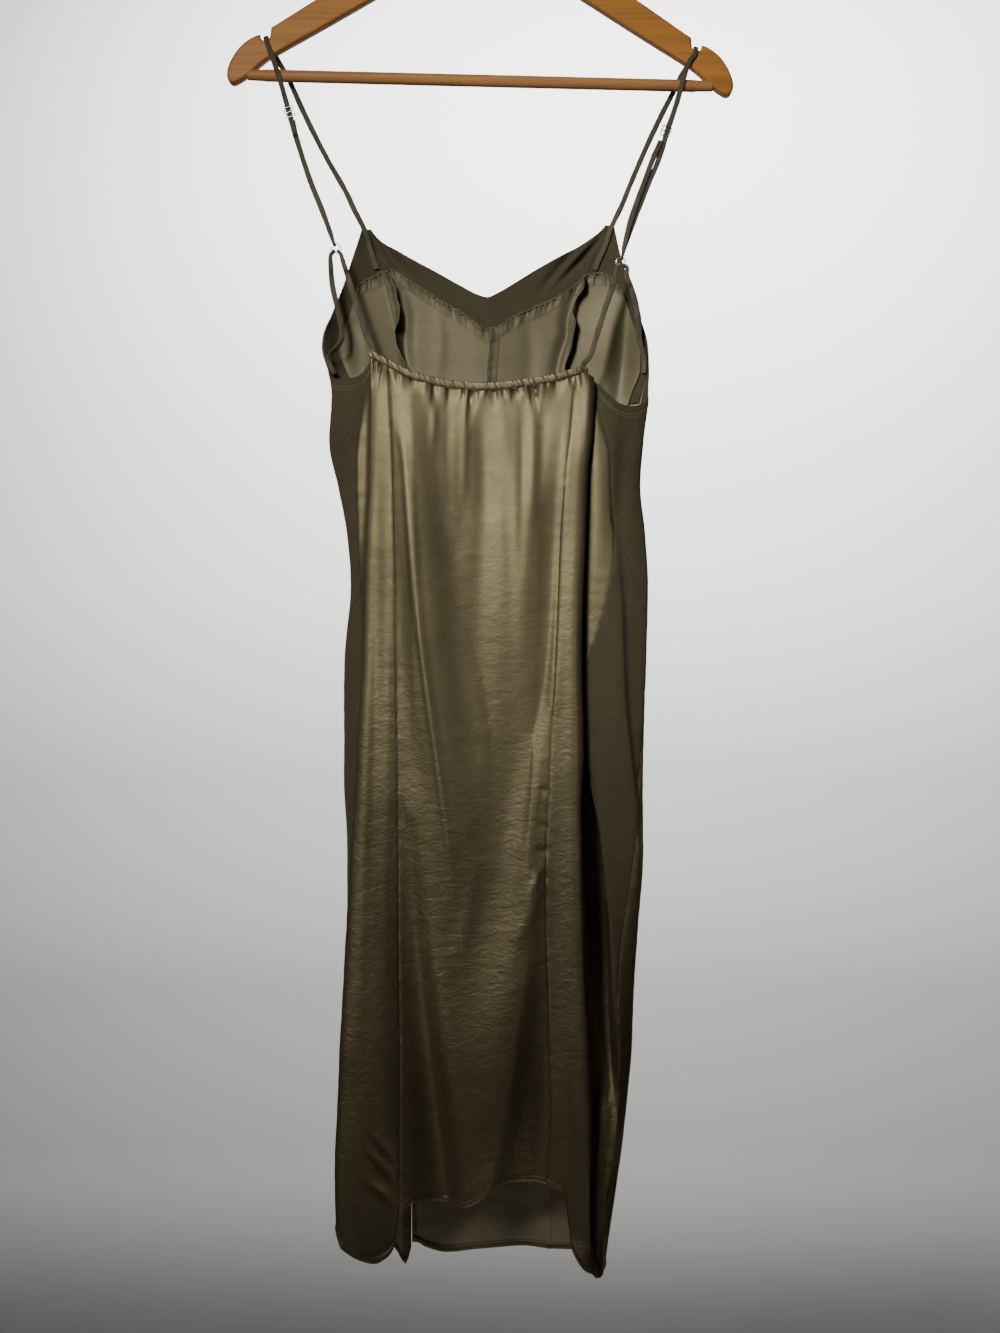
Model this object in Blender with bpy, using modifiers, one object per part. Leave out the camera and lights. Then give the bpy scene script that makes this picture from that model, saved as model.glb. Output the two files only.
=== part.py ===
"""Satin slip dress on a wooden hanger, seen from its back.

Metres, +Z up.  -Y is the side with the elastic back neckline, +X is to the right when that side is
looked at.  The origin is the inside top of the hanger's hook, where a rail carries it.

The dress is one hollow tube.  Its section at each height is a closed smooth curve through named
stations (side, valley, fold, seam and so on), whose places are read from short tables by height.
Every cloth piece is a wall cut from that tube between two seams, a top edge and a hem.
"""
import math

import bmesh
import bpy
import numpy as np
from mathutils import Matrix, Vector

MM = 0.001
OBJECT_NAME = "slip_dress_on_hanger"

# ---------------------------------------------------------------- driving sizes (millimetres)
HOOK_X = 4.2                # the hook hangs this far right of the line that the tables measure from
SATIN = 1.2                 # wall of the outer satin and stretch panels
LAYER = 1.0                 # wall of facing and lining
SEAM_GAP = 0.30             # open seam between neighbouring pieces
LAYER_GAP = 0.35            # air between pieces that lie on each other
LINING_GAP = 0.8            # air between the facing and the loose lining
CASING_HEIGHT = 7.0         # elastic casing at the back neckline
CASING_WALL = 2.6
STRAP_WIDTH = 4.8
STRAP_WALL = 1.2
LOOP_WIDTH = 2.6            # a strap is squeezed where it wraps a ring
STRAP_GAP = 0.9             # air between a strap's end and the layer that it is sewn to
RUFFLE_DEPTH = 16.0         # how far the lining's ruffled edge reaches down
RUFFLE_WAVES = 30.0         # radians of wave a station
RING_RADIUS = 4.1           # middle of the wire
RING_WIRE = 0.55
SLIDER_WIDTH, SLIDER_HEIGHT, SLIDER_WALL = 8.6, 9.6, 1.0
SLIDER_SLOT = 2.8           # height of each of its two slots
SLIDER_RIM = 1.2

HANGER_TILT = math.radians(1.4)
HANGER_WALL = 12.0
HANGER_ROUNDING = 1.6
BAR_RADIUS = 5.3
BAR_HEIGHT = -204.0
BAR_REACH = 205.0           # half length, to the tip of the tapered end
BAR_TAPER = 16.0
BAR_FORWARD = 2.0           # the bar stands this far out of the yoke's middle, towards -Y
HOOK_RADIUS = 18.0          # inside of the hook
HOOK_WIRE = 1.6
HOOK_START, HOOK_END = math.radians(-52), math.radians(205)
NECK_TOP = -61.0

MATTE_END = -1040.0
# ---------------------------------------------------------------- sections of the dress
# x of the side outlines, of the two fold edges of the back and of its princess seams, by height.
BACK_COLUMNS = ("height", "side_left", "fold_left", "seam_left",
                "seam_right", "fold_right", "groove_edge", "side_right")
BACK_WIDTHS = (
    (-445, -135, -96.5, -80.0, 83.0, 92.5, 97.5, 147.5),
    (-480, -132, -97.0, -79.0, 81.0, 92.5, 97.5, 147.5),
    (-520, -134, -98.0, -77.5, 77.5, 91.0, 96.5, 143.0),
    (-560, -126, -99.0, -76.5, 72.5, 89.0, 95.0, 139.5),
    (-600, -119, -101.0, -75.5, 69.0, 88.0, 93.7, 144.0),
    (-650, -115, -103.0, -74.0, 67.0, 86.6, 91.6, 147.0),
    (-700, -119, -104.0, -73.0, 65.0, 86.0, 90.0, 146.0),
    (-760, -121, -105.5, -72.0, 62.0, 86.0, 90.2, 144.0),
    (-820, -121, -108.5, -71.3, 59.5, 88.0, 93.0, 142.5),
    (-880, -118, -112.5, -71.0, 56.5, 90.0, 101.0, 142.0),
    (-940, -118, -116.3, -71.0, 56.5, 92.0, 108.5, 139.5),
    (-1000, -119, -119.2, -70.3, 58.5, 94.5, 113.5, 135.5),
    (-1060, -121, -122.4, -69.6, 60.0, 96.5, 118.0, 133.0),
    (-1120, -123, -125.7, -69.8, 60.5, 98.8, 118.0, 127.8),
    (-1180, -124, -127.3, -70.2, 57.5, 100.8, 112.0, 119.5),
    (-1255, -124, -127.3, -70.5, 57.2, 101.5, 104.5, 107.5),
)
# x of the front's outer edges and princess seams; above the armhole the edges are free.
FRONT_COLUMNS = ("height", "edge_left", "seam_left", "centre", "seam_right", "edge_right")
FRONT_WIDTHS = (
    (-322, -103.5, -99.5, 5.5, 112.5, 117.0),
    (-337, -108.0, -98.0, 5.5, 108.5, 120.0),
    (-357, -114.5, -92.5, 5.5, 98.5, 124.5),
    (-380, -122.0, -85.5, 5.5, 90.5, 132.0),
    (-408, -132.0, -79.0, 5.0, 84.5, 140.0),
    (-437, -140.5, -72.0, 4.0, 79.0, 147.5),
    (-456, -135.5, -68.0, 3.0, 76.0, 148.5),
    (-480, -128.0, -66.0, 2.0, 72.0, 142.0),
    (-520, -124.0, -64.0, 1.0, 68.0, 133.0),
    (-650, -104.0, -63.0, 0.0, 65.0, 134.0),
    (-820, -108.0, -62.5, 0.0, 64.0, 131.0),
    (-1000, -108.0, -62.5, 0.0, 64.0, 126.0),
    (-1120, -110.0, -62.5, 0.0, 62.0, 119.0),
    (-1255, -110.0, -62.5, 0.0, 60.0, 101.0),
)
# y of each station group by height.
DEPTH_COLUMNS = ("height", "front", "front_edge", "side_left", "side_right",
                 "valley", "fold", "back", "groove", "strip")
DEPTHS = (
    (-322, 16, 14, 4, 4, -12, -22, -24, -8, -14),
    (-380, 19, 12, 3, 3, -12, -22, -24, -8, -14),
    (-437, 21, 4, 2, 2, -12, -22, -24, -8, -14),
    (-460, 22, 6, 1, 1, -12, -22, -25, -6, -14),
    (-520, 23, 14, 0, 0, -13, -25, -29, 0, -16),
    (-600, 25, 18, 0, 0, -14, -28, -33, 4, -18),
    (-700, 27, 20, 0, 0, -13, -30, -36, 6, -17),
    (-820, 28, 22, 2, 1, -14, -31, -38, 8, -16),
    (-940, 29, 24, 2, 2, -18, -32, -40, 8, -14),
    (-1060, 30, 26, 0, 4, -24, -34, -42, 0, -12),
    (-1120, 30, 26, 0, 3, -26, -34, -42, -14, -18),
    (-1180, 30, 26, 0, -2, -26, -34, -42, -24, -24),
    (-1255, 30, 26, 0, -8, -26, -32, -42, -28, -24),
)
# The stations round the section, in order: side, back from left to right, side, front.
STATIONS = ("side_left", "middle_left", "valley", "fold_wall", "fold_left", "shoulder_left",
            "seam_left", "back_1", "back_2", "back_3", "seam_right", "shoulder_right",
            "fold_right", "groove_in", "groove", "groove_out", "strip", "strip_shoulder",
            "middle_right", "side_right", "front_right", "front_seam_right", "front_centre",
            "front_seam_left", "front_left")
LAST = len(STATIONS)
VALLEY, FOLD_L, SHOULDER_L, SEAM_L = (STATIONS.index(name) for name in
                                      ("valley", "fold_left", "shoulder_left", "seam_left"))
SEAM_R, SHOULDER_R, FOLD_R, GROOVE = (STATIONS.index(name) for name in
                                      ("seam_right", "shoulder_right", "fold_right", "groove"))
STRIP, MIDDLE_R, SIDE_R, EDGE_R = (STATIONS.index(name) for name in
                                   ("strip", "middle_right", "side_right", "front_right"))
FRONT_R, CENTRE, FRONT_L = (STATIONS.index(name) for name in
                            ("front_seam_right", "front_centre", "front_seam_left"))
EDGE_L = -1                 # the station before side_left
LEFT_FRONT = FRONT_L - LAST

# Seams that wander: station number by height.  Below MATTE_END the matte side panels have run out,
# and the left front seam opens into a slit.
SEAM_COLUMNS = ("height", "left_back", "left_front", "right_back", "right_front",
                "slit_center", "slit_side")
SEAMS = (
    (-300, 2.40, EDGE_L, GROOVE + 0.40, EDGE_R, FRONT_L, LEFT_FRONT),
    (-448, 2.40, EDGE_L, GROOVE + 0.40, EDGE_R, FRONT_L, LEFT_FRONT),
    (-475, 1.95, -0.90, STRIP - 0.40, EDGE_R - 0.10, FRONT_L, LEFT_FRONT),
    (-500, 1.70, -0.85, STRIP + 1.10, EDGE_R - 0.15, FRONT_L, LEFT_FRONT),
    (-540, 1.45, -0.80, STRIP + 1.80, EDGE_R - 0.20, FRONT_L, LEFT_FRONT),
    (-600, 1.30, -0.75, MIDDLE_R, EDGE_R - 0.30, FRONT_L, LEFT_FRONT),
    (-640, 1.55, -0.70, STRIP + 1.70, EDGE_R - 0.45, FRONT_L, LEFT_FRONT),
    (-700, 2.10, -0.60, STRIP - 0.10, EDGE_R - 0.70, FRONT_L, LEFT_FRONT),
    (-760, 2.30, -0.50, GROOVE + 0.60, SIDE_R, FRONT_L, LEFT_FRONT),
    (-820, 2.20, -0.40, GROOVE + 0.50, SIDE_R - 0.25, FRONT_L, LEFT_FRONT),
    (-880, 1.90, -0.25, GROOVE + 0.50, SIDE_R - 0.50, FRONT_L, LEFT_FRONT),
    (-940, 1.50, 0.00, GROOVE + 0.80, SIDE_R - 0.80, FRONT_L, LEFT_FRONT),
    (-1000, 1.15, 0.50, STRIP - 0.50, STRIP + 1.40, FRONT_L, LEFT_FRONT),
    (-1040, 1.07, 0.93, STRIP - 0.30, STRIP + 0.05, FRONT_L - 0.01, LEFT_FRONT + 0.01),
    (-1080, 1.00, 1.00, STRIP - 0.45, STRIP - 0.45, FRONT_L - 0.02, LEFT_FRONT + 0.02),
    (-1260, 1.00, 1.00, STRIP - 0.45, STRIP - 0.45, FRONT_L - 0.05, LEFT_FRONT + 0.05),
)
# Top edges: height by station.
BACK_TOP = ((VALLEY, -443.5), (FOLD_L, -443.5), (SHOULDER_L, -446.5), (SEAM_L, -453.0),
            (SEAM_L + 0.6, -464.0), (SEAM_L + 1.3, -470.5), (SEAM_L + 2.0, -472.5),
            (SEAM_L + 2.7, -470.5), (SEAM_R - 0.6, -466.0), (SEAM_R, -460.0),
            (SHOULDER_R, -458.0), (FOLD_R, -459.5), (STRIP, -459.5))
SIDE_LEFT_TOP = ((EDGE_L, -448.0), (-0.5, -459.0), (0.0, -463.5), (0.6, -466.5), (1.2, -466.0),
                 (1.6, -463.0), (2.0, -455.5), (2.3, -451.0), (2.5, -451.0))
SIDE_RIGHT_TOP = ((GROOVE, -467.0), (GROOVE + 0.6, -467.0), (STRIP, -469.0), (STRIP + 1, -473.0),
                  (STRIP + 1.6, -483.0), (MIDDLE_R, -489.0), (MIDDLE_R + 0.4, -491.0),
                  (MIDDLE_R + 0.8, -486.0), (SIDE_R + 0.2, -474.0), (SIDE_R + 0.7, -459.0),
                  (EDGE_R, -448.0))
FRONT_TOP = ((FRONT_R, -326.5), (FRONT_R + 0.25, -346.0), (FRONT_R + 0.5, -363.0),
             (FRONT_R + 0.75, -379.0), (FRONT_R + 0.9, -387.0), (CENTRE, -390.5),
             (CENTRE + 0.1, -388.0), (CENTRE + 0.25, -380.5), (CENTRE + 0.5, -365.0),
             (CENTRE + 0.75, -349.0), (FRONT_L, -330.0))
PEAK_LEFT, PEAK_RIGHT = -331.0, -327.5
# Hems: height by station, the back from its left side seam to its right one, then the front.
HEM_SIDE_LEFT = ((1.0, -1212.0), (FOLD_L, -1206.0), (FOLD_L + 0.6, -1213.0),
                 (SHOULDER_L + 0.1, -1222.0), (SHOULDER_L + 0.4, -1230.0),
                 (SHOULDER_L + 0.62, -1233.5), (SHOULDER_L + 0.8, -1229.0),
                 (SHOULDER_L + 0.9, -1222.0), (SEAM_L - 0.04, -1206.0), (SEAM_L, -1191.0))
HEM_BACK = ((SEAM_L, -1190.0), (SEAM_L + 0.35, -1184.5), (SEAM_L + 0.8, -1184.0),
            (SEAM_L + 1.7, -1188.5), (SEAM_L + 2.1, -1183.0), (SEAM_L + 2.6, -1171.0),
            (SEAM_R - 0.9, -1166.0), (SEAM_R - 0.4, -1166.0), (SEAM_R, -1168.5))
HEM_SIDE_RIGHT = ((SEAM_R, -1169.0), (SEAM_R + 0.35, -1178.0), (SEAM_R + 0.42, -1200.0),
                  (SEAM_R + 0.5, -1224.0), (SEAM_R + 0.8, -1240.0), (SHOULDER_R + 0.5, -1246.0),
                  (FOLD_R, -1248.0), (GROOVE, -1249.0), (STRIP, -1250.0))
HEM_FRONT_RIGHT = ((STRIP - 0.5, -1250.0), (SIDE_R, -1246.0), (EDGE_R, -1243.0),
                   (FRONT_R, -1241.0))
HEM_FRONT = ((FRONT_R, -1241.0), (FRONT_R + 0.4, -1239.0), (CENTRE, -1241.0),
             (CENTRE + 0.5, -1245.0), (CENTRE + 0.8, -1240.0), (FRONT_L - 0.1, -1236.0),
             (FRONT_L, -1235.0))
HEM_FRONT_LEFT = ((LEFT_FRONT, -1238.0), (LEFT_FRONT + 0.1, -1255.0),
                  (LEFT_FRONT + 0.3, -1240.0), (EDGE_L, -1225.0), (1.0, -1214.0))
# Rows of every wall meet at these levels, so that neighbours share their seams row by row.
ARMHOLE, BUST, THIGH, SHIN = -448.0, -500.0, MATTE_END, -1148.0
UPPER_ROWS, MIDDLE_ROWS, LOWER_ROWS, HEM_ROWS = 3, 14, 3, 3

# Large folds: top and foot heights, place across the panel there (0 at its first seam, 1 at the
# other), width and outward depth, negative for a valley.
BACK_FOLDS = (
    (-480, -900, 0.05, 0.40, 0.11, 5.0),       # ridge from the left corner
    (-560, -980, 0.22, 0.55, 0.14, -5.0),      # hollow beside it
    (-500, -960, 0.97, 0.62, 0.09, -4.5),      # valley from the right corner
    (-540, -900, 0.84, 0.86, 0.08, 3.5),       # ridge beside the right seam
    (-880, -1200, 0.06, 0.26, 0.09, -4.5),     # left side of the lower bowl
    (-900, -1200, 0.94, 0.66, 0.09, -5.0),     # right side of the lower bowl
    (-960, -1210, 0.50, 0.46, 0.20, 5.0),      # belly of the bowl
)
FRONT_FOLDS = (
    (-600, -1260, 0.30, 0.22, 0.12, 4.0),
    (-640, -1260, 0.66, 0.74, 0.14, 5.0),
    (-560, -1200, 0.48, 0.50, 0.12, -3.0),
)
# Gathers under the elastic casing.
GATHERS = 22
GATHER_DEPTH = 1.5
GATHER_LENGTH = 34.0

# Inner layers of the front: top edge of the satin lining and foot of the matte facing.
LINING_SEAM = CENTRE - 0.15
LINING_TOP_LEFT = ((LINING_SEAM, -416.0), (CENTRE - 0.08, -420.5), (CENTRE, -420.5),
                   (CENTRE + 0.08, -417.5), (CENTRE + 0.18, -409.0), (CENTRE + 0.39, -398.0),
                   (CENTRE + 0.66, -380.5), (CENTRE + 0.88, -367.5), (FRONT_L, -369.0))
LINING_TOP_RIGHT = ((FRONT_R, -372.0), (FRONT_R + 0.06, -378.0), (FRONT_R + 0.32, -393.0),
                    (FRONT_R + 0.63, -405.0), (LINING_SEAM, -416.0))
LINING_SIDE_TOP_LEFT = ((-2.0, -369.0), (-1.84, -372.0), (-1.60, -376.0), (-1.40, -380.0),
                        (-1.0, -381.0))
LINING_SIDE_TOP_RIGHT = ((EDGE_R, -389.0), (EDGE_R + 0.20, -389.0), (EDGE_R + 0.40, -374.5),
                         (EDGE_R + 0.74, -370.0), (FRONT_R, -372.0))
LINING_FOOT = -505.0

# Straps: (x, y, z, width).  The long one starts at the slider, goes down to the ring and round it,
# comes up behind itself, goes over the hanger's notch and down to the front peak.
LONG_FRONT_LEFT = ((-164.7, -12.3, -242.0, 4.6), (-161.0, -12.7, -258.5, 4.8),
                   (-149.5, -13.7, -293.8, 4.8), (-138.9, -14.8, -320.3, 4.8),
                   (-132.2, -15.4, -338.5, 4.2))
LONG_REAR_LEFT = ((-132.2, -12.8, -338.5, 4.2), (-138.9, -13.0, -320.3, 4.8),
                  (-149.5, -12.0, -293.8, 4.8), (-161.0, -11.0, -258.5, 4.8),
                  (-168.1, -10.0, -233.7, 4.8), (-176.2, -8.6, -205.1, 4.8),
                  (-181.5, -7.8, -189.1, 4.8), (-187.0, -7.4, -174.0, 4.4),
                  (-188.6, -7.1, -168.6, 4.2), (-188.9, -5.4, -166.4, 4.2),
                  (-188.9, 5.4, -166.4, 4.2), (-188.4, 7.1, -168.6, 4.2),
                  (-186.0, 7.4, -173.5, 4.4), (-177.1, 7.8, -187.5, 4.8),
                  (-169.2, 8.2, -202.0, 4.8),
                  (-156.0, 9.0, -231.0, 4.8), (-138.4, 10.0, -266.0, 4.8),
                  (-120.8, 10.6, -296.8, 4.8), (-112.5, 9.6, -314.5, 4.8))
LONG_FRONT_RIGHT = ((157.4, -12.0, -259.5, 4.6), (150.2, -12.7, -276.0, 4.8),
                    (142.0, -13.7, -298.2, 4.8), (131.0, -14.8, -329.0, 4.8),
                    (125.6, -15.4, -350.5, 4.2))
LONG_REAR_RIGHT = ((126.4, -12.8, -350.5, 4.2), (134.0, -12.8, -329.0, 4.8),
                   (146.0, -11.8, -298.2, 4.8), (155.5, -10.8, -276.0, 4.8),
                   (163.2, -9.8, -250.4, 4.8), (171.0, -9.0, -227.3, 4.8),
                   (177.3, -8.4, -205.1, 4.8), (182.3, -7.8, -190.0, 4.8),
                   (187.2, -7.4, -183.0, 4.4), (188.6, -7.1, -177.8, 4.2),
                   (188.9, -5.4, -175.6, 4.2), (188.9, 5.4, -175.6, 4.2),
                   (188.4, 7.1, -177.8, 4.2), (186.4, 7.4, -182.6, 4.4),
                   (178.4, 7.8, -194.5, 4.8),
                   (169.0, 8.2, -213.0, 4.8), (158.4, 9.0, -233.6, 4.8),
                   (145.2, 10.0, -261.7, 4.8), (132.0, 10.6, -292.5, 4.8),
                   (124.5, 9.6, -311.0, 4.8))
# Inside stretch of the same strap, on the facing: (x, z); it stops above the lining's edge.
STRAP_INSIDE_LEFT = ((-104.4, -333.5), (-98.7, -349.5), (-93.4, -366.0))
STRAP_INSIDE_RIGHT = ((116.4, -331.0), (112.6, -341.5), (105.8, -356.4), (101.2, -367.0))
# Short straps, from the ring to the edge they are sewn to.
OUTER_STRAP_LEFT = ((-131.2, -15.2, -367.0, 4.4), (-129.8, -13.2, -385.8, 4.8),
                    (-126.2, -11.2, -402.9, 4.8), (-122.6, -8.6, -420.1, 4.8),
                    (-123.4, -5.0, -434.0, 4.8))
INNER_STRAP_LEFT = ((-119.4, -16.0, -369.0, 4.4), (-117.0, -16.6, -376.0, 4.8),
                    (-109.7, -18.0, -399.9, 4.8), (-102.5, -19.6, -422.1, 4.8),
                    (-98.8, -19.8, -434.0, 4.8))
OUTER_STRAP_RIGHT = ((127.4, -15.2, -378.0, 4.4), (130.4, -13.2, -385.5, 4.8),
                     (134.9, -10.0, -398.4, 4.8), (138.4, -6.6, -415.5, 4.8),
                     (139.2, -2.0, -431.0, 4.8))
INNER_STRAP_RIGHT = ((116.6, -16.0, -381.0, 4.4), (113.6, -16.6, -391.5, 4.8),
                     (106.5, -18.0, -413.0, 4.8), (99.6, -19.6, -435.1, 4.8),
                     (95.6, -19.8, -448.0, 4.8))
# Their sewn ends on the inside of an edge: (station, z).
OUTER_END_LEFT = ((EDGE_L - 0.11, -447.0), (EDGE_L - 0.10, -461.0))
OUTER_END_RIGHT = ((EDGE_R + 0.12, -445.0), (EDGE_R + 0.10, -460.0))
INNER_END_LEFT = ((FOLD_L + 0.35, -442.0), (FOLD_L + 0.35, -450.0))
INNER_END_RIGHT = ((FOLD_R - 0.45, -456.5), (FOLD_R - 0.45, -465.0))
RING_LEFT, RING_RIGHT = (-126.6, -14.0, -354.0), (122.3, -14.0, -366.2)
SLIDER_LEFT, SLIDER_RIGHT = (-167.6, -11.7, -234.2), (162.0, -11.5, -250.8)

# Hanger arm outline, right half, from the top of the neck round the tip to the bottom of the neck.
ARM_OUTLINE = ((0, NECK_TOP), (14, -61.5), (27, -64), (40, -70), (60, -82), (96, -105),
               (138, -131.5), (178, -158), (184.2, -162.0), (185.2, -168), (186.2, -171.5),
               (191.6, -173.5), (193.6, -171.6), (194.9, -168.8), (203, -172.5), (211, -179),
               (217.5, -188), (221.5, -197), (222.7, -204), (221, -210), (217, -212.5),
               (211, -210), (203, -204), (192, -194), (181, -186), (138, -160.5), (91, -132),
               (50, -108), (28, -98), (12, -94.5), (0, -94))

COLOURS = {
    "satin": (0.180, 0.155, 0.098, 0.42, 0.0),
    "stretch": (0.105, 0.092, 0.058, 0.85, 0.0),
    "strap": (0.125, 0.110, 0.070, 0.60, 0.0),
    "wood": (0.560, 0.270, 0.085, 0.38, 0.0),
    "steel": (0.700, 0.700, 0.690, 0.25, 1.0),
}
NODE_SHIFT = Matrix.Translation(Vector((-HOOK_X, 0, 0)) * MM)


# ---------------------------------------------------------------- reading the tables
def column(table, names, name, height):
    """Smooth value of one column at the given heights; the rows run from high to low."""
    rows = np.array(table, dtype=float)[::-1]
    level, value = rows[:, 0], rows[:, names.index(name)]
    return hermite(level, value, np.clip(height, level[0], level[-1]))


def hermite(x, y, at):
    """Cubic through the points, with slopes that never overshoot a peak or a valley."""
    step, rise = np.diff(x), np.diff(y)
    slope = rise / step
    tangent = np.concatenate([[slope[0]], np.zeros(len(slope) - 1), [slope[-1]]])
    same = slope[:-1] * slope[1:] > 0
    mean = 2 * slope[:-1] * slope[1:] / np.where(same, slope[:-1] + slope[1:], 1.0)
    tangent[1:-1] = np.where(same, mean, 0.0)
    index = np.clip(np.searchsorted(x, at, side="right") - 1, 0, len(step) - 1)
    part = (at - x[index]) / step[index]
    h00 = (1 + 2 * part) * (1 - part) ** 2
    h10 = part * (1 - part) ** 2
    h01 = part ** 2 * (3 - 2 * part)
    h11 = part ** 2 * (part - 1)
    return (h00 * y[index] + h10 * step[index] * tangent[index]
            + h01 * y[index + 1] + h11 * step[index] * tangent[index + 1])


def edge_height(table, station):
    """Height of an edge at the given stations."""
    rows = np.array(table, dtype=float)
    return hermite(rows[:, 0], rows[:, 1], np.clip(station, rows[0, 0], rows[-1, 0]))


def wandering(name, height):
    """Station of a seam of SEAMS at the given heights."""
    return column(SEAMS, SEAM_COLUMNS, name, height)


# ---------------------------------------------------------------- the tube
def stations_at(height):
    """x and y of every station at the given heights, each as an array of (station, height)."""
    def back(name):
        return column(BACK_WIDTHS, BACK_COLUMNS, name, height)

    def front(name):
        return column(FRONT_WIDTHS, FRONT_COLUMNS, name, height)

    def depth(name):
        return column(DEPTHS, DEPTH_COLUMNS, name, height)

    left, right = back("side_left"), back("side_right")
    fold_left, fold_right = back("fold_left"), back("fold_right")
    seam_left, seam_right = back("seam_left"), back("seam_right")
    groove_edge = back("groove_edge")
    span_back = seam_right - seam_left
    valley, fold, rear = depth("valley"), depth("fold"), depth("back")
    groove, strip = depth("groove"), depth("strip")
    side_left, side_right = depth("side_left"), depth("side_right")
    deep = 0.78
    open_left = np.clip((fold_left - left) / 15.0, 0, 1)
    side_width = right - groove_edge
    lip = np.clip((groove - strip) / 12.0, 0, 1)
    places = {
        "side_left": (left, side_left),
        "middle_left": (left + 0.50 * (fold_left - left), side_left + 0.75 * (valley - side_left)),
        "valley": (fold_left + 2.0 - 4.5 * open_left, valley),
        "fold_wall": (fold_left + 1.5, valley + 0.45 * (fold - valley)),
        "fold_left": (fold_left, fold),
        "shoulder_left": (fold_left + 5.5, 0.3 * fold + 0.7 * rear - 0.5),
        "seam_left": (seam_left, rear),
        "back_1": (seam_left + 0.25 * span_back, rear + 1.0),
        "back_2": (seam_left + 0.50 * span_back, rear + 1.5),
        "back_3": (seam_left + 0.75 * span_back, rear + 1.0),
        "seam_right": (seam_right, rear),
        "shoulder_right": (fold_right - 4.5, 0.3 * fold + 0.7 * rear - 0.5),
        "fold_right": (fold_right, fold),
        "groove_in": (fold_right - 0.5, fold + deep * (groove - fold)),
        "groove": (0.5 * (fold_right + groove_edge), groove),
        "groove_out": (groove_edge + 0.5 * lip - 0.25 * (groove_edge - fold_right) * (1 - lip),
                       strip + deep * (groove - strip)),
        "strip": (groove_edge + 0.3 * lip, strip + 3.5 * lip),
        "strip_shoulder": (groove_edge + 0.3 + np.minimum(4.5, 0.2 * side_width),
                           strip - 0.5 * lip + 0.12 * (1 - lip) * (side_right - strip)),
        "middle_right": (groove_edge + 0.45 * side_width,
                         strip + (0.45 - 0.25 * lip) * (side_right - strip) - lip),
        "side_right": (right, side_right),
        "front_right": (front("edge_right"), depth("front_edge")),
        "front_seam_right": (front("seam_right"), depth("front")),
        "front_centre": (front("centre"), depth("front") - 1.0),
        "front_seam_left": (front("seam_left"), depth("front")),
        "front_left": (front("edge_left"), depth("front_edge")),
    }
    shape = np.shape(height)
    xs = np.stack([np.broadcast_to(places[name][0], shape) for name in STATIONS])
    ys = np.stack([np.broadcast_to(places[name][1], shape) for name in STATIONS])
    return xs, ys


def through_stations(xs, ys, station):
    """Centripetal curve through the stations of each section, read at a station number."""
    first = np.floor(station).astype(int)
    part = station - first
    picked = [(first + offset) % LAST for offset in (-1, 0, 1, 2)]
    where = tuple(np.indices(station.shape))
    corners = [np.stack([xs[(index,) + where], ys[(index,) + where]], axis=-1) for index in picked]
    gaps = [np.maximum(np.linalg.norm(corners[i + 1] - corners[i], axis=-1), 1e-3) ** 0.5
            for i in range(3)]
    t0 = -gaps[0]
    t2 = gaps[1]
    t3 = gaps[1] + gaps[2]
    t = part * gaps[1]

    def mix(a, b, ta, tb):
        weight = ((t - ta) / (tb - ta))[..., None]
        return a * (1 - weight) + b * weight

    zero = np.zeros_like(t)
    a1 = mix(corners[0], corners[1], t0, zero)
    a2 = mix(corners[1], corners[2], zero, t2)
    a3 = mix(corners[2], corners[3], t2, t3)
    b1 = mix(a1, a2, t0, t2)
    b2 = mix(a2, a3, zero, t3)
    return mix(b1, b2, zero, t2)


def bell(value):
    return np.exp(-0.5 * value ** 2)


def window(height, top, foot):
    """1 between top and foot, easing to 0 within a quarter of the length outside them."""
    ease = 0.25 * (top - foot)
    rise = np.clip((top + 0.5 * ease - height) / ease, 0, 1)
    fall = np.clip((height - foot + 0.5 * ease) / ease, 0, 1)
    return (rise * rise * (3 - 2 * rise)) * (fall * fall * (3 - 2 * fall))


def fold_relief(folds, across, height):
    """Outward height of the folds of one panel, across it from 0 to 1."""
    total = np.zeros(np.shape(across))
    for top, foot, across_top, across_foot, width, depth in folds:
        along = np.clip((top - height) / (top - foot), 0, 1)
        middle = across_top + (across_foot - across_top) * along
        edge = np.clip(8 * np.minimum(across, 1 - across), 0, 1)
        total += depth * bell((across - middle) / width) * window(height, top, foot) * edge
    return total


def gather_relief(station, height):
    """Small tucks that run down from the elastic, uneven in depth and length."""
    across = (station - SEAM_L) / (SEAM_R - SEAM_L)
    below = edge_height(BACK_TOP, station) - CASING_HEIGHT - height
    uneven = 0.55 + 0.45 * np.sin(17.0 * across + 1.3) * np.sin(7.3 * across + 0.4)
    length = GATHER_LENGTH * (0.45 + 0.55 * uneven)
    fade = np.clip(1 - below / length, 0, 1) ** 1.5
    bend = 0.15 * np.sin(5.0 * across * math.tau)
    return GATHER_DEPTH * uneven * fade * np.sin(math.tau * (GATHERS * across + bend))


def ruffle_relief(station, below):
    """Uneven waves from 0 to 2 along a loose edge, fading below it."""
    fade = np.clip(1 - below / RUFFLE_DEPTH, 0, 1)
    return fade * (1 + np.sin(RUFFLE_WAVES * station + 1.7 * np.sin(9 * station)))


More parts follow.
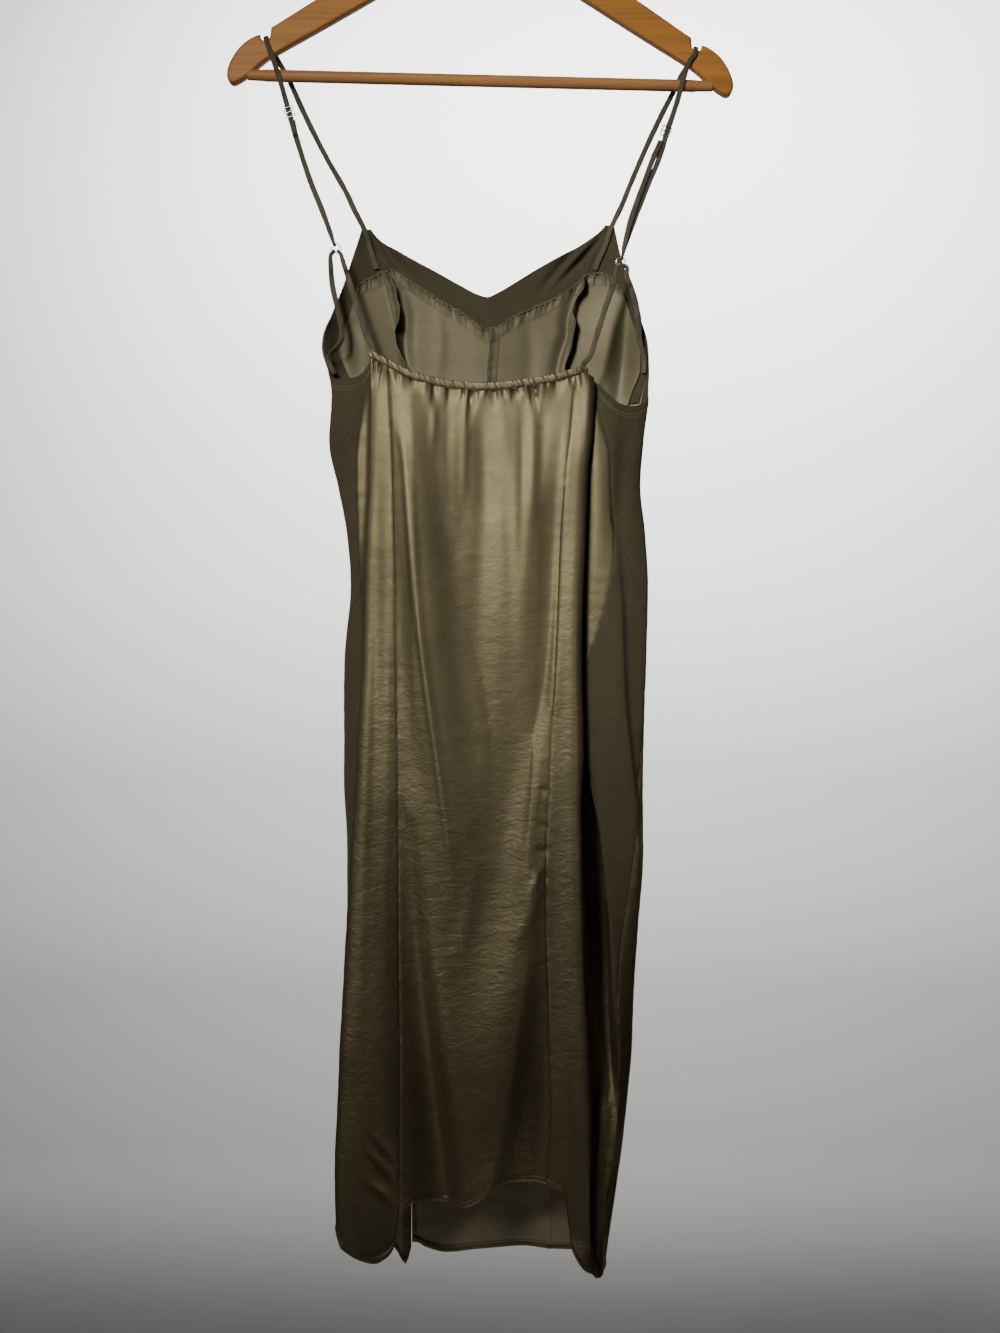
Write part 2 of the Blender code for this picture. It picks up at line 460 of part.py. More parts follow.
def surface(station, height):
    """Outer surface point of the tube (mm) at the given stations and heights."""
    station = np.asarray(station, dtype=float)
    height = np.asarray(height, dtype=float)
    xs, ys = stations_at(height)
    flat = through_stations(xs, ys, station)
    turn = station % LAST
    on_back = (turn >= SEAM_L) & (turn <= SEAM_R)
    on_front = (turn >= FRONT_R) & (turn <= FRONT_L)
    out_back = fold_relief(BACK_FOLDS, (turn - SEAM_L) / (SEAM_R - SEAM_L), height)
    out_back += gather_relief(turn, height)
    out_front = fold_relief(FRONT_FOLDS, (turn - FRONT_R) / (FRONT_L - FRONT_R), height)
    y = flat[..., 1] - np.where(on_back, out_back, 0.0) + np.where(on_front, out_front, 0.0)
    return np.stack([flat[..., 0], y, height], axis=-1)


def outward(station, height):
    """Unit outward normal of the tube, by small steps along and down it."""
    step_s, step_h = 0.02, 1.0
    along = surface(station + step_s, height) - surface(station - step_s, height)
    down = surface(station, height - step_h) - surface(station, height + step_h)
    normal = np.cross(down, along)
    return normal / np.linalg.norm(normal, axis=-1, keepdims=True)


# ---------------------------------------------------------------- meshes
def new_material(name, colour):
    material = bpy.data.materials.new(name)
    material.use_nodes = True
    shader = material.node_tree.nodes["Principled BSDF"]
    red, green, blue, roughness, metallic = COLOURS[colour]
    shader.inputs["Base Color"].default_value = (red, green, blue, 1.0)
    shader.inputs["Roughness"].default_value = roughness
    shader.inputs["Metallic"].default_value = metallic
    material.diffuse_color = (red, green, blue, 1.0)
    return material


def finish_object(name, mesh, colour, collection, smooth_degrees=40.0):
    mesh.materials.clear()
    mesh.materials.append(new_material(name, colour))
    mesh.transform(NODE_SHIFT)
    mesh.shade_smooth()
    mesh.set_sharp_from_angle(angle=math.radians(smooth_degrees))
    piece = bpy.data.objects.new(name, mesh)
    collection.objects.link(piece)
    return piece


def cell_triangles(upper, lower, points):
    """Triangles of one cell, with the upper corners fanned to the two lower ones.

    Both skins take the same ones, so that the wall keeps its thickness where it twists.
    """
    if len(upper) == 2:
        def length(one, other):
            return np.linalg.norm(points[one[0]][one[1]] - points[other[0]][other[1]])
        if length(upper[0], lower[1]) < length(upper[1], lower[0]):
            return [(upper[1], upper[0], lower[1]), (upper[0], lower[0], lower[1])]
        return [(upper[1], upper[0], lower[0]), (upper[1], lower[0], lower[1])]
    half = len(upper) // 2
    fans = [(upper[step + 1], upper[step], lower[0] if step < half else lower[1])
            for step in range(len(upper) - 1)]
    return fans + [(upper[half], lower[0], lower[1])]


def rim_faces(bm, outer, inner):
    """Two triangles of the rim, cut from the higher outer corner, as the neighbour's are."""
    if outer[0].co.z >= outer[1].co.z:
        bm.faces.new((outer[0], outer[1], inner[1]))
        bm.faces.new((outer[0], inner[1], inner[0]))
    else:
        bm.faces.new((outer[0], outer[1], inner[0]))
        bm.faces.new((outer[1], inner[1], inner[0]))


def wall_mesh(name, outer, inner):
    """Closed wall between two skins.  A skin is a list of rows of points in millimetres; a row may
    hold a whole number of times the cells of the next one, and is then joined to it by fans."""
    bm = bmesh.new()
    skins = [[[bm.verts.new(Vector(point * MM)) for point in row] for row in skin]
             for skin in (outer, inner)]
    for level in range(len(outer) - 1):
        cells = len(outer[level + 1]) - 1
        times = (len(outer[level]) - 1) // cells
        for cell in range(cells):
            corners = [(level, cell * times + step) for step in range(times + 1)]
            below = [(level + 1, cell), (level + 1, cell + 1)]
            for face in cell_triangles(corners, below, outer):
                for skin, order in zip(skins, (1, -1)):
                    bm.faces.new([skin[row][place] for row, place in face[::order]])
    loops = []
    for skin in skins:
        rim = list(skin[0]) + [row[-1] for row in skin[1:]]
        rim += list(skin[-1][-2::-1]) + [row[0] for row in skin[-2:0:-1]]
        loops.append(rim)
    for here, _ in enumerate(loops[0]):
        there = (here + 1) % len(loops[0])
        rim_faces(bm, (loops[0][here], loops[0][there]), (loops[1][here], loops[1][there]))
    return outward_mesh(bm, name)


def open_seams(rows):
    """Draw both ends of every row in by half the seam gap."""
    drawn = []
    for row in rows:
        row = row.copy()
        for edge, inside in ((0, 1), (-1, -2)):
            step = row[inside] - row[edge]
            row[edge] += step * (0.5 * SEAM_GAP / max(np.linalg.norm(step), 1e-6))
        drawn.append(row)
    return drawn


def column_places(stretches, density):
    """Column places (from, to, part) of (from, to, cells) stretches joined end to end."""
    places = []
    for start, end, cells in stretches:
        cells = round(cells * density)
        places += [(start, end, cell / cells) for cell in range(cells)]
    places.append((stretches[-1][0], stretches[-1][1], 1.0))
    return places


def station_row(columns, heights):
    """Stations of the columns at the given heights, one height a column."""
    row = []
    for (start, end, part), height in zip(columns, heights):
        ends = [float(wandering(value, np.array(height))) if isinstance(value, str) else value
                for value in (start, end)]
        row.append(ends[0] + (ends[1] - ends[0]) * part)
    return np.array(row)


def edge_row(columns, edge):
    """Heights of a top edge, a level or a hem at the columns."""
    heights = np.full(len(columns), edge if isinstance(edge, float) else np.mean(edge, axis=0)[1])
    if not isinstance(edge, float):
        for _ in range(8):
            heights = edge_height(edge, station_row(columns, heights))
    return heights


def cloth_wall(name, colour, collection, stretches, bands, wall=SATIN, lift=0.0, ruffle=0.0):
    """Wall from the tube's surface.

    stretches are (from, to, cells) round the tube; an end is a station or the name of a seam.
    bands are (upper edge, lower edge, rows, density): an edge is a table or a level, and density
    multiplies the cells.  lift moves the wall outward from the surface.  ruffle is how far the
    waves of a loose top edge stand inward.
    """
    outer, inner = [], []
    for band, (upper, lower, rows, density) in enumerate(bands):
        places = column_places(stretches, density)
        high, low = edge_row(places, upper), edge_row(places, lower)
        if band == 0:
            edge = high
        for row in range(rows + (band == len(bands) - 1)):
            heights = high + (low - high) * (row / rows)
            stations = station_row(places, heights)
            middle, normal = surface(stations, heights), outward(stations, heights)
            inward = ruffle_relief(stations, edge - heights) * ruffle if ruffle else 0 * heights
            outer.append(middle + normal * (lift - inward)[..., None])
            inner.append(middle + normal * (lift - wall - inward)[..., None])
    mesh = wall_mesh(name, open_seams(outer), open_seams(inner))
    return finish_object(name, mesh, colour, collection)


# ---------------------------------------------------------------- the dress
def build_back(collection):
    below_casing = tuple((station, height - CASING_HEIGHT - 1.6 * SEAM_GAP)
                         for station, height in BACK_TOP)
    middle = ((BUST, THIGH, MIDDLE_ROWS, 1), (THIGH, SHIN, LOWER_ROWS, 1))
    cloth_wall("back_center", "satin", collection, ((SEAM_L, SEAM_R, 18),),
               ((below_casing, BUST, UPPER_ROWS, 4), *middle, (SHIN, HEM_BACK, HEM_ROWS, 1)))
    cloth_wall("back_side_left", "satin", collection,
               ((SEAM_L, SHOULDER_L, 3), (SHOULDER_L, FOLD_L, 2), (FOLD_L, 2.6, 2),
                (2.6, "left_back", 3)),
               ((below_casing, BUST, UPPER_ROWS, 1), *middle,
                (SHIN, HEM_SIDE_LEFT, HEM_ROWS, 1)))
    cloth_wall("back_side_right", "satin", collection,
               ((SEAM_R, SHOULDER_R, 3), (SHOULDER_R, FOLD_R, 2), (FOLD_R, FOLD_R + 1, 1),
                (FOLD_R + 1, GROOVE + 0.35, 4), (GROOVE + 0.35, "right_back", 5)),
               ((below_casing, BUST, UPPER_ROWS, 1), *middle,
                (SHIN, HEM_SIDE_RIGHT, HEM_ROWS, 1)))
    casing(collection)


def casing(collection):
    """Ruched elastic casing on the back neckline, a flat tube with small waves."""
    cells = 66
    stations = np.linspace(FOLD_L + 0.05, FOLD_R - 0.05, cells + 1)
    rows = 3
    top = edge_height(BACK_TOP, stations)
    heights = top[None, :] - np.linspace(0, CASING_HEIGHT, rows + 1)[:, None]
    grid = np.broadcast_to(stations, heights.shape)
    wave = np.where(np.arange(cells + 1) % 2 == 0, 0.35, -0.35)[None, :]
    middle, normal = surface(grid, heights), outward(grid, heights)
    belly = np.sin(np.linspace(0, math.pi, rows + 1))[:, None]
    outer = middle + normal * (0.5 + belly * (0.5 + wave))[..., None]
    inner = middle + normal * (0.5 - CASING_WALL * (0.45 + 0.55 * belly))[..., None]
    mesh = wall_mesh("back_neck_casing", list(outer), list(inner))
    finish_object("back_neck_casing", mesh, "satin", collection)


def build_sides(collection):
    tip = BUST + (THIGH - BUST) * (MIDDLE_ROWS - 2) / MIDDLE_ROWS
    middle = ((BUST, tip, MIDDLE_ROWS - 2, 1), (tip, THIGH, 2, 1 / 3))
    cloth_wall("side_panel_left", "stretch", collection, (("left_back", "left_front", 9),),
               ((SIDE_LEFT_TOP, BUST, UPPER_ROWS, 1), *middle))
    cloth_wall("side_panel_right", "stretch", collection, (("right_back", "right_front", 12),),
               ((SIDE_RIGHT_TOP, BUST, UPPER_ROWS, 1), *middle))


def build_front(collection):
    middle = ((ARMHOLE, BUST, UPPER_ROWS, 1), (BUST, THIGH, MIDDLE_ROWS, 1),
              (THIGH, SHIN, LOWER_ROWS, 1))
    cloth_wall("front_side_right", "satin", collection, (("right_front", FRONT_R, 8),),
               ((PEAK_RIGHT, ARMHOLE, 4, 1), *middle, (SHIN, HEM_FRONT_RIGHT, HEM_ROWS, 1)))
    cloth_wall("front_center", "satin", collection,
               ((FRONT_R, CENTRE, 5), (CENTRE, "slit_center", 5)),
               ((FRONT_TOP, ARMHOLE, 4, 1), *middle, (SHIN, HEM_FRONT, HEM_ROWS, 1)))
    cloth_wall("front_side_left", "satin", collection, (("slit_side", "left_front", 7),),
               ((PEAK_LEFT, ARMHOLE, 4, 1), *middle, (SHIN, HEM_FRONT_LEFT, HEM_ROWS, 1)))


def build_lining(collection):
    """Matte facing on the inside of the front, and the satin lining over it."""
    facing_lift = -(SATIN + LAYER_GAP)
    lining_lift = facing_lift - LAYER - LINING_GAP
    facings = (
        ("front_facing_right", ((FRONT_R, CENTRE, 5),), FRONT_TOP),
        ("front_facing_left", ((CENTRE, FRONT_L, 5),), FRONT_TOP),
        ("armhole_facing_right", ((EDGE_R, FRONT_R, 8),), PEAK_RIGHT),
        ("armhole_facing_left", ((LEFT_FRONT, EDGE_L, 7),), PEAK_LEFT),
    )
    for name, stretches, top in facings:
        cloth_wall(name, "stretch", collection, stretches, ((top, ARMHOLE, 4, 1),), wall=LAYER,
                   lift=facing_lift)
    linings = (
        ("lining_center_right", ((FRONT_R, LINING_SEAM, 10),), LINING_TOP_RIGHT),
        ("lining_center_left", ((LINING_SEAM, FRONT_L, 13),), LINING_TOP_LEFT),
        ("lining_side_right", ((EDGE_R + 0.20, FRONT_R, 7),), LINING_SIDE_TOP_RIGHT),
        ("lining_side_left", ((LEFT_FRONT, EDGE_L - 0.38, 6),), LINING_SIDE_TOP_LEFT),
    )
    for name, stretches, top in linings:
        cloth_wall(name, "satin", collection, stretches,
                   ((top, ARMHOLE, 4, 1), (ARMHOLE, LINING_FOOT, 3, 1)), wall=LAYER,
                   lift=lining_lift, ruffle=0.5)


def front_station(x, z):
    """Station of the place across the front at x."""
    low, high = EDGE_R - 0.5, LAST - 0.5
    for _ in range(30):
        middle = 0.5 * (low + high)
        if surface(middle, z)[0] > x:
            low = middle
        else:
            high = middle
    return middle


def facing_way(side, across):
    """The side direction turned to agree with across."""
    return side if np.dot(side, across) > 0 else -side


def free_run(points, across):
    """Rows (x, y, z, width, side direction) of a strap hanging free."""
    return [(*point, *across) for point in points]


def inside_run(places, lift, across):
    """Rows of a strap that lies on the inside of the tube, at (station, height) places."""
    rows = []
    for station, height in places:
        point = surface(station, height) + outward(station, height) * lift
        side = surface(station + 0.02, height) - surface(station - 0.02, height)
        side = facing_way(side / np.linalg.norm(side), across)
        rows.append((*point, STRAP_WIDTH, *side))
    return rows


def ring_turn(ring, degrees, across):
    """Rows of a strap from the near side round the ring's wire to the far side."""
    angle = math.radians(degrees)
    out = np.array((math.cos(angle), 0.0, math.sin(angle)))
    side = facing_way(np.array((-math.sin(angle), 0.0, math.cos(angle))), across)
    wire = np.array(ring) + out * RING_RADIUS
    reach = RING_WIRE + LAYER_GAP + 0.5 * STRAP_WALL + 0.15
    rows = [(*(wire + out * 3.2 - (0, reach, 0)), LOOP_WIDTH + 0.5, *side)]
    for step in range(5):
        bend = math.pi * step / 4
        place = wire - out * reach * math.sin(bend) - np.array((0, reach * math.cos(bend), 0))
        rows.append((*place, LOOP_WIDTH, *side))
    rows.append((*(wire + out * 3.2 + (0, reach, 0)), LOOP_WIDTH + 0.5, *side))
    return rows


def smooth_path(rows, samples):
    """Rows on a smooth curve through the given ones, samples to each stretch."""
    rows = np.array(rows, dtype=float)
    padded = np.vstack([2 * rows[0] - rows[1], rows, 2 * rows[-1] - rows[-2]])
    path = []
    for first in range(len(rows) - 1):
        p0, p1, p2, p3 = padded[first:first + 4]
        for step in range(samples):
            t = step / samples
            path.append(0.5 * (2 * p1 + (p2 - p0) * t + (2 * p0 - 5 * p1 + 4 * p2 - p3) * t ** 2
                               + (3 * p1 - p0 - 3 * p2 + p3) * t ** 3))
    path.append(rows[-1])
    return np.array(path)


def ribbon(name, rows, collection, samples=1):
    """Flat rouleau strap along rows of (x, y, z, width, side direction)."""
    path = smooth_path(rows, samples)
    section = ((1, 0), (0.72, 0.5), (-0.72, 0.5), (-1, 0), (-0.72, -0.5), (0.72, -0.5))
    bm = bmesh.new()
    rings = []
    for index, row in enumerate(path):
        ahead, behind = path[min(index + 1, len(path) - 1)], path[max(index - 1, 0)]
        tangent = Vector(ahead[:3] - behind[:3]).normalized()
        side = Vector(row[4:])
        side = (side - tangent * side.dot(tangent)).normalized()
        up = side.cross(tangent)
        rings.append([bm.verts.new((Vector(row[:3]) + side * (0.5 * row[3] * a)
                                    + up * (STRAP_WALL * b)) * MM) for a, b in section])
    for one, two in zip(rings, rings[1:]):
        for corner in range(6):
            beside = (corner + 1) % 6
            bm.faces.new((one[corner], one[beside], two[beside], two[corner]))
    bm.faces.new(rings[0][::-1])
    bm.faces.new(rings[-1])
    return finish_object(name, outward_mesh(bm, name), "strap", collection, 60)


def build_straps(collection):
    on_facing = -(SATIN + LAYER_GAP + LAYER + STRAP_GAP + 0.5 * STRAP_WALL)
    in_casing = -(CASING_WALL + LAYER_GAP + 0.5 * STRAP_WALL)
    across_left, across_right = np.array((0.94, 0, 0.34)), np.array((0.94, 0, -0.34))
    for name, ring, angle, front, rear, inside, across in (
            ("strap_long_left", RING_LEFT, 112, LONG_FRONT_LEFT, LONG_REAR_LEFT,
             STRAP_INSIDE_LEFT, across_left),
            ("strap_long_right", RING_RIGHT, 76, LONG_FRONT_RIGHT, LONG_REAR_RIGHT,
             STRAP_INSIDE_RIGHT, across_right)):
        tail = inside_run([(front_station(x, z), z) for x, z in inside], on_facing, across)
        rows = (free_run(front, across) + ring_turn(ring, angle, across)
                + free_run(rear, across) + tail)
        ribbon(name, rows, collection, samples=2)
    for name, ring, angle, run, tail, lift, across in (
            ("strap_outer_left", RING_LEFT, -128, OUTER_STRAP_LEFT, OUTER_END_LEFT,
             on_facing, across_left),
            ("strap_outer_right", RING_RIGHT, -42, OUTER_STRAP_RIGHT, OUTER_END_RIGHT,
             on_facing, across_right),
            ("strap_inner_left", RING_LEFT, -52, INNER_STRAP_LEFT, INNER_END_LEFT,
             in_casing, across_left),
            ("strap_inner_right", RING_RIGHT, -122, INNER_STRAP_RIGHT, INNER_END_RIGHT,
             in_casing, across_right)):
        rows = ring_turn(ring, angle, across)[::-1] + free_run(run, across)
        ribbon(name, rows + inside_run(tail, lift, across), collection)


def outward_mesh(bm, name):
    """Mesh of a closed body with its faces outward."""
    if bm.calc_volume(signed=True) < 0:
        bmesh.ops.reverse_faces(bm, faces=bm.faces)
    mesh = bpy.data.meshes.new(name)
    bm.to_mesh(mesh)
    bm.free()
    return mesh


def rectangle(width, height, middle=0.0):
    """Corners of a rectangle round (0, middle)."""
    return [(x * width / 2, middle + z * height / 2) for x, z in ((-1, -1), (1, -1), (1, 1), (-1, 1))]


def flat_outline(name, loops, wall):
    """Filled 2D curve of closed loops, the first one outside the others, as a curve object."""
    outline = bpy.data.curves.new(name, "CURVE")
    outline.dimensions = "2D"
    outline.fill_mode = "BOTH"
    outline.extrude = 0.5 * wall * MM
    for loop in loops:
        line = outline.splines.new("POLY")
        line.points.add(len(loop) - 1)
        for point, (x, z) in zip(line.points, loop):
            point.co = (x * MM, z * MM, 0, 1)
        line.use_cyclic_u = True
    curve = bpy.data.objects.new(name, outline)
    curve.rotation_euler = (math.pi / 2, 0, 0)
    bpy.context.collection.objects.link(curve)
    return curve


def as_mesh(source, name):
    """Mesh of a curve or of an object with modifiers, welded, in the scene's frame."""
    bpy.context.view_layer.update()
    evaluated = source.evaluated_get(bpy.context.evaluated_depsgraph_get())
    mesh = bpy.data.meshes.new_from_object(evaluated)
    mesh.name = name
    bm = bmesh.new()
    bm.from_mesh(mesh)
    bmesh.ops.remove_doubles(bm, verts=bm.verts, dist=0.00001)
    bm.to_mesh(mesh)
    bm.free()
    mesh.transform(source.matrix_world)
    bpy.data.objects.remove(source)
    return mesh


def build_hardware(collection):
    for name, place in (("ring_left", RING_LEFT), ("ring_right", RING_RIGHT)):
        bpy.ops.mesh.primitive_torus_add(
            major_radius=RING_RADIUS * MM, minor_radius=RING_WIRE * MM, major_segments=20,
            minor_segments=6, location=Vector(place) * MM, rotation=(math.pi / 2, 0, 0))
        finish_object(name, as_mesh(bpy.context.object, name), "steel", collection)
    slot_middle = 0.5 * (SLIDER_HEIGHT - SLIDER_SLOT) - SLIDER_RIM
    slot_width = SLIDER_WIDTH - 2 * SLIDER_RIM
    loops = (rectangle(SLIDER_WIDTH, SLIDER_HEIGHT),
             rectangle(slot_width, SLIDER_SLOT, slot_middle),
             rectangle(slot_width, SLIDER_SLOT, -slot_middle))
    for name, place, lean in (("slider_left", SLIDER_LEFT, math.radians(-17)),
                              ("slider_right", SLIDER_RIGHT, math.radians(20))):
        plate = flat_outline(name, loops, SLIDER_WALL)
        plate.rotation_euler.y = lean
        plate.location = Vector(place) * MM
        finish_object(name, as_mesh(plate, name), "steel", collection)


def tilt(mesh):
    turn = Matrix.Rotation(HANGER_TILT, 4, "Y")
    mesh.transform(Matrix.Translation(Vector((HOOK_X, 0, 0)) * MM) @ turn)
    return mesh


def build_hanger(collection):
    left = tuple((-x, z) for x, z in ARM_OUTLINE[-2:0:-1])
    outline = flat_outline("yoke_outline", (ARM_OUTLINE + left,), HANGER_WALL)
    yoke = bpy.data.objects.new("yoke", as_mesh(outline, "yoke"))
    bpy.context.collection.objects.link(yoke)
    rounding = yoke.modifiers.new("rounding", "BEVEL")
    rounding.width = HANGER_ROUNDING * MM
    rounding.segments = 1
    rounding.limit_method = "ANGLE"
    rounding.angle_limit = math.radians(60)
    seat = bar_object("bar_seat", SEAM_GAP)
    cut = yoke.modifiers.new("bar_seat", "BOOLEAN")
    cut.operation = "DIFFERENCE"
    cut.object = seat
    finish_object("hanger_yoke", tilt(as_mesh(yoke, "hanger_yoke")), "wood", collection, 50)
    bpy.data.objects.remove(seat)
    bar = tilt(as_mesh(bar_object("bar", 0.0), "hanger_bar"))
    finish_object("hanger_bar", bar, "wood", collection, 50)
    finish_object("hanger_hook", tilt(hook_mesh()), "steel", collection, 60)


def bar_object(name, grow):
    """Trouser bar: a dowel with tapered ends, grown for the seat that it lies in."""
    tip = 0.45 * BAR_RADIUS
    profile = ((0, BAR_REACH + grow), (tip + grow, BAR_REACH + grow),
               (BAR_RADIUS + grow, BAR_REACH - BAR_TAPER), (BAR_RADIUS + grow, 0),
               (BAR_RADIUS + grow, BAR_TAPER - BAR_REACH), (tip + grow, -BAR_REACH - grow),
               (0, -BAR_REACH - grow))
    mesh = bpy.data.meshes.new(name)
    mesh.from_pydata([(r * MM, 0, z * MM) for r, z in profile],
                     [(i, i + 1) for i in range(len(profile) - 1)], [])
    bar = bpy.data.objects.new(name, mesh)
    bpy.context.collection.objects.link(bar)
    screw = bar.modifiers.new("turn", "SCREW")
    screw.steps = screw.render_steps = 16
    screw.use_merge_vertices = True
    screw.merge_threshold = 0.00001
    bar.rotation_euler = (0, math.pi / 2, 0)
    bar.location = (0, -BAR_FORWARD * MM, BAR_HEIGHT * MM)
    return bar


def hook_mesh():
    """Wire hook: a straight shank from the neck, a bend, and an arc over the rail."""
    reach = HOOK_RADIUS + HOOK_WIRE
    centre = -HOOK_RADIUS
    path = [(0, NECK_TOP + SEAM_GAP), (0, -52), (0.8, -46), (5.0, -40.5)]
    first, last, steps = HOOK_START, HOOK_END, 12
    for step in range(steps + 1):
        angle = first + (last - first) * step / steps
        path.append((reach * math.cos(angle), centre + reach * math.sin(angle)))
    wire = bpy.data.curves.new("hook", "CURVE")
    wire.dimensions = "3D"
    wire.bevel_depth = HOOK_WIRE * MM
    wire.bevel_resolution = 2
    wire.use_fill_caps = True
    line = wire.splines.new("POLY")
    line.points.add(len(path) - 1)
    for point, (x, z) in zip(line.points, path):
        point.co = (x * MM, 0, z * MM, 1)
    hook = bpy.data.objects.new("hook", wire)
    bpy.context.collection.objects.link(hook)
    return as_mesh(hook, "hanger_hook")


def main():
    for item in list(bpy.data.objects):
        bpy.data.objects.remove(item, do_unlink=True)
    collection = bpy.data.collections.new(OBJECT_NAME)
    bpy.context.scene.collection.children.link(collection)
    build_back(collection)
    build_sides(collection)
    build_front(collection)
    build_lining(collection)
    build_straps(collection)
    build_hardware(collection)
    build_hanger(collection)


main()
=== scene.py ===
"""Satin slip dress on a wooden hanger: its looks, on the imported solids.

Metres, +Z up.  -Y is the side with the elastic back neckline, +X is to the right when that side is
looked at.  The tables are in millimetres and measure x from a line HOOK_X left of the hook.
"""
import math

import bmesh
import bpy
import numpy as np
from mathutils import Matrix, Vector


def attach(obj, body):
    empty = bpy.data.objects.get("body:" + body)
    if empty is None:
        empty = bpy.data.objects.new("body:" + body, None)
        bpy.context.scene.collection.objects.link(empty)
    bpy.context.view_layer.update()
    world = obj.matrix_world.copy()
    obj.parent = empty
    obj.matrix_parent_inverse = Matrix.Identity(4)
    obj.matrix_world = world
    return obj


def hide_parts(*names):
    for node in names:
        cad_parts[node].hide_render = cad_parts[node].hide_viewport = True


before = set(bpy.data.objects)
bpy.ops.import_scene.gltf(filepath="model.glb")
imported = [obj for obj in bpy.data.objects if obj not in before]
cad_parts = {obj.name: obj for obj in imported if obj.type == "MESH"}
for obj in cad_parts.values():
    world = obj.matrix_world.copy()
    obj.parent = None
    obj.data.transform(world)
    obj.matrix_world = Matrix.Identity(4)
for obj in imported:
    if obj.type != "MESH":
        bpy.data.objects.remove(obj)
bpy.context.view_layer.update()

MM = 0.001
HOOK_X = 4.2                # the hook is this far right of the line that tables measure from
SATIN = 1.2                 # room that the solids give a wall of outer cloth
LAYER = 1.0                 # and a wall of facing or lining
LAYER_GAP = 0.35
LINING_GAP = 0.8
CLOTH = 0.7                 # the cloth itself
SEAM_GAP = 0.3
HEM_DEPTH = 5.0             # the foot edge is turned in this far and rolls
HEM_ROWS = (1.5, 1.15, 1.0, 0.85, 0.5, 0.2, 0.0)    # heights of its rows, in depths
HEM_FACE_ROWS = 3           # rows of faces that the turned hem covers inside
SLIT_FOLD = 3               # columns that are folded in along the slit
EDGE_PASSES = 7             # a panel's rows settle between its edges in these passes
RUFFLE = 0.9                # the lining's loose edge waves inward by about twice this
SERGE_PITCH = 1.1
ALLOWANCE_WIDTH = 8.0
SLIT_TOP = -1150.0          # the slit's edges are folded in below this height
CASING_HEIGHT = 7.0
CASING_WALL = 2.6           # its depth from front to back
STRAP_WIDTH = 4.8
STRAP_WALL = 1.2
LOOP_WIDTH = 2.6            # a strap is squeezed where it wraps a ring
STRAP_GAP = 0.9             # air between a strap's end and the layer that it is sewn to
RUFFLE_DEPTH = 11.0         # the waves fade out this far below the edge
RUFFLE_WAVES = 30.0         # radians of wave to a station
TURN_REACH, TURN_STEPS = 3.2, 5     # how far out of the wire a turn starts, and its rows
RING_RADIUS = 4.1
RING_WIRE = 0.55
SLIDER_WIDTH, SLIDER_HEIGHT, SLIDER_CORNER, SLIDER_WIRE = 7.6, 8.6, 1.2, 0.52
CROSSBAR_REACH, CROSSBAR_WIRE = 3.6, 0.5
FACING_LIFT = -(SATIN + LAYER_GAP)
LINING_LIFT = FACING_LIFT - LAYER - LINING_GAP

HANGER_TILT = math.radians(1.4)
HANGER_WALL = 12.0
YOKE_ROUNDING = 2.4
YOKE_GRAIN = math.radians(31)
BAR_RADIUS = 5.3
BAR_HEIGHT = -204.0
BAR_REACH = 205.0
BAR_TAPER = 16.0            # length of its tapered ends
BAR_FORWARD = 2.0
HOOK_RADIUS = 18.0
HOOK_WIRE = 1.6
HOOK_START, HOOK_END = math.radians(-52), math.radians(205)
NECK_TOP = -61.0

MATTE_END = -1040.0
TUBE_FOOT = -1260.0         # below the lowest hem
STATION_STEP, HEIGHT_STEP = 0.02, 1.0   # steps that give the tube's slopes

# ---------------------------------------------------------------- sections of the dress
# x of the side outlines, of the two fold edges of the back and of its princess seams, by height.
BACK_WIDTHS = (
    ("height", "side_left", "fold_left", "seam_left", "seam_right", "fold_right", "groove_edge",
     "side_right"),
    (-445, -135, -96.5, -80.0, 83.0, 92.5, 97.5, 147.5),
    (-480, -132, -97.0, -79.0, 81.0, 92.5, 97.5, 147.5),
    (-520, -134, -98.0, -77.5, 77.5, 92.2, 95.8, 143.0),
    (-560, -126, -99.0, -76.5, 72.5, 90.9, 93.8, 139.5),
    (-600, -119, -101.0, -75.5, 69.0, 89.9, 92.6, 144.0),
    (-650, -115, -103.0, -74.0, 67.0, 88.4, 91.0, 147.0),
    (-700, -119, -104.0, -73.0, 65.0, 87.2, 90.0, 146.0),
    (-760, -121, -105.5, -72.0, 62.0, 87.2, 90.2, 144.0),
    (-820, -121, -108.5, -71.3, 59.5, 88.9, 93.0, 142.5),
    (-880, -118, -112.5, -71.0, 56.5, 90.0, 101.0, 142.0),
    (-940, -118, -116.3, -71.0, 56.5, 92.0, 108.5, 139.5),
    (-1000, -119, -119.2, -70.3, 58.5, 94.5, 113.5, 135.5),
    (-1060, -121, -122.4, -69.6, 60.0, 96.5, 118.0, 133.0),
    (-1120, -123, -125.7, -69.8, 60.5, 98.8, 118.0, 127.8),
    (-1180, -124, -127.3, -70.2, 57.5, 100.8, 112.0, 119.5),
    (-1255, -124, -127.3, -70.5, 57.2, 101.5, 104.5, 107.5),
)
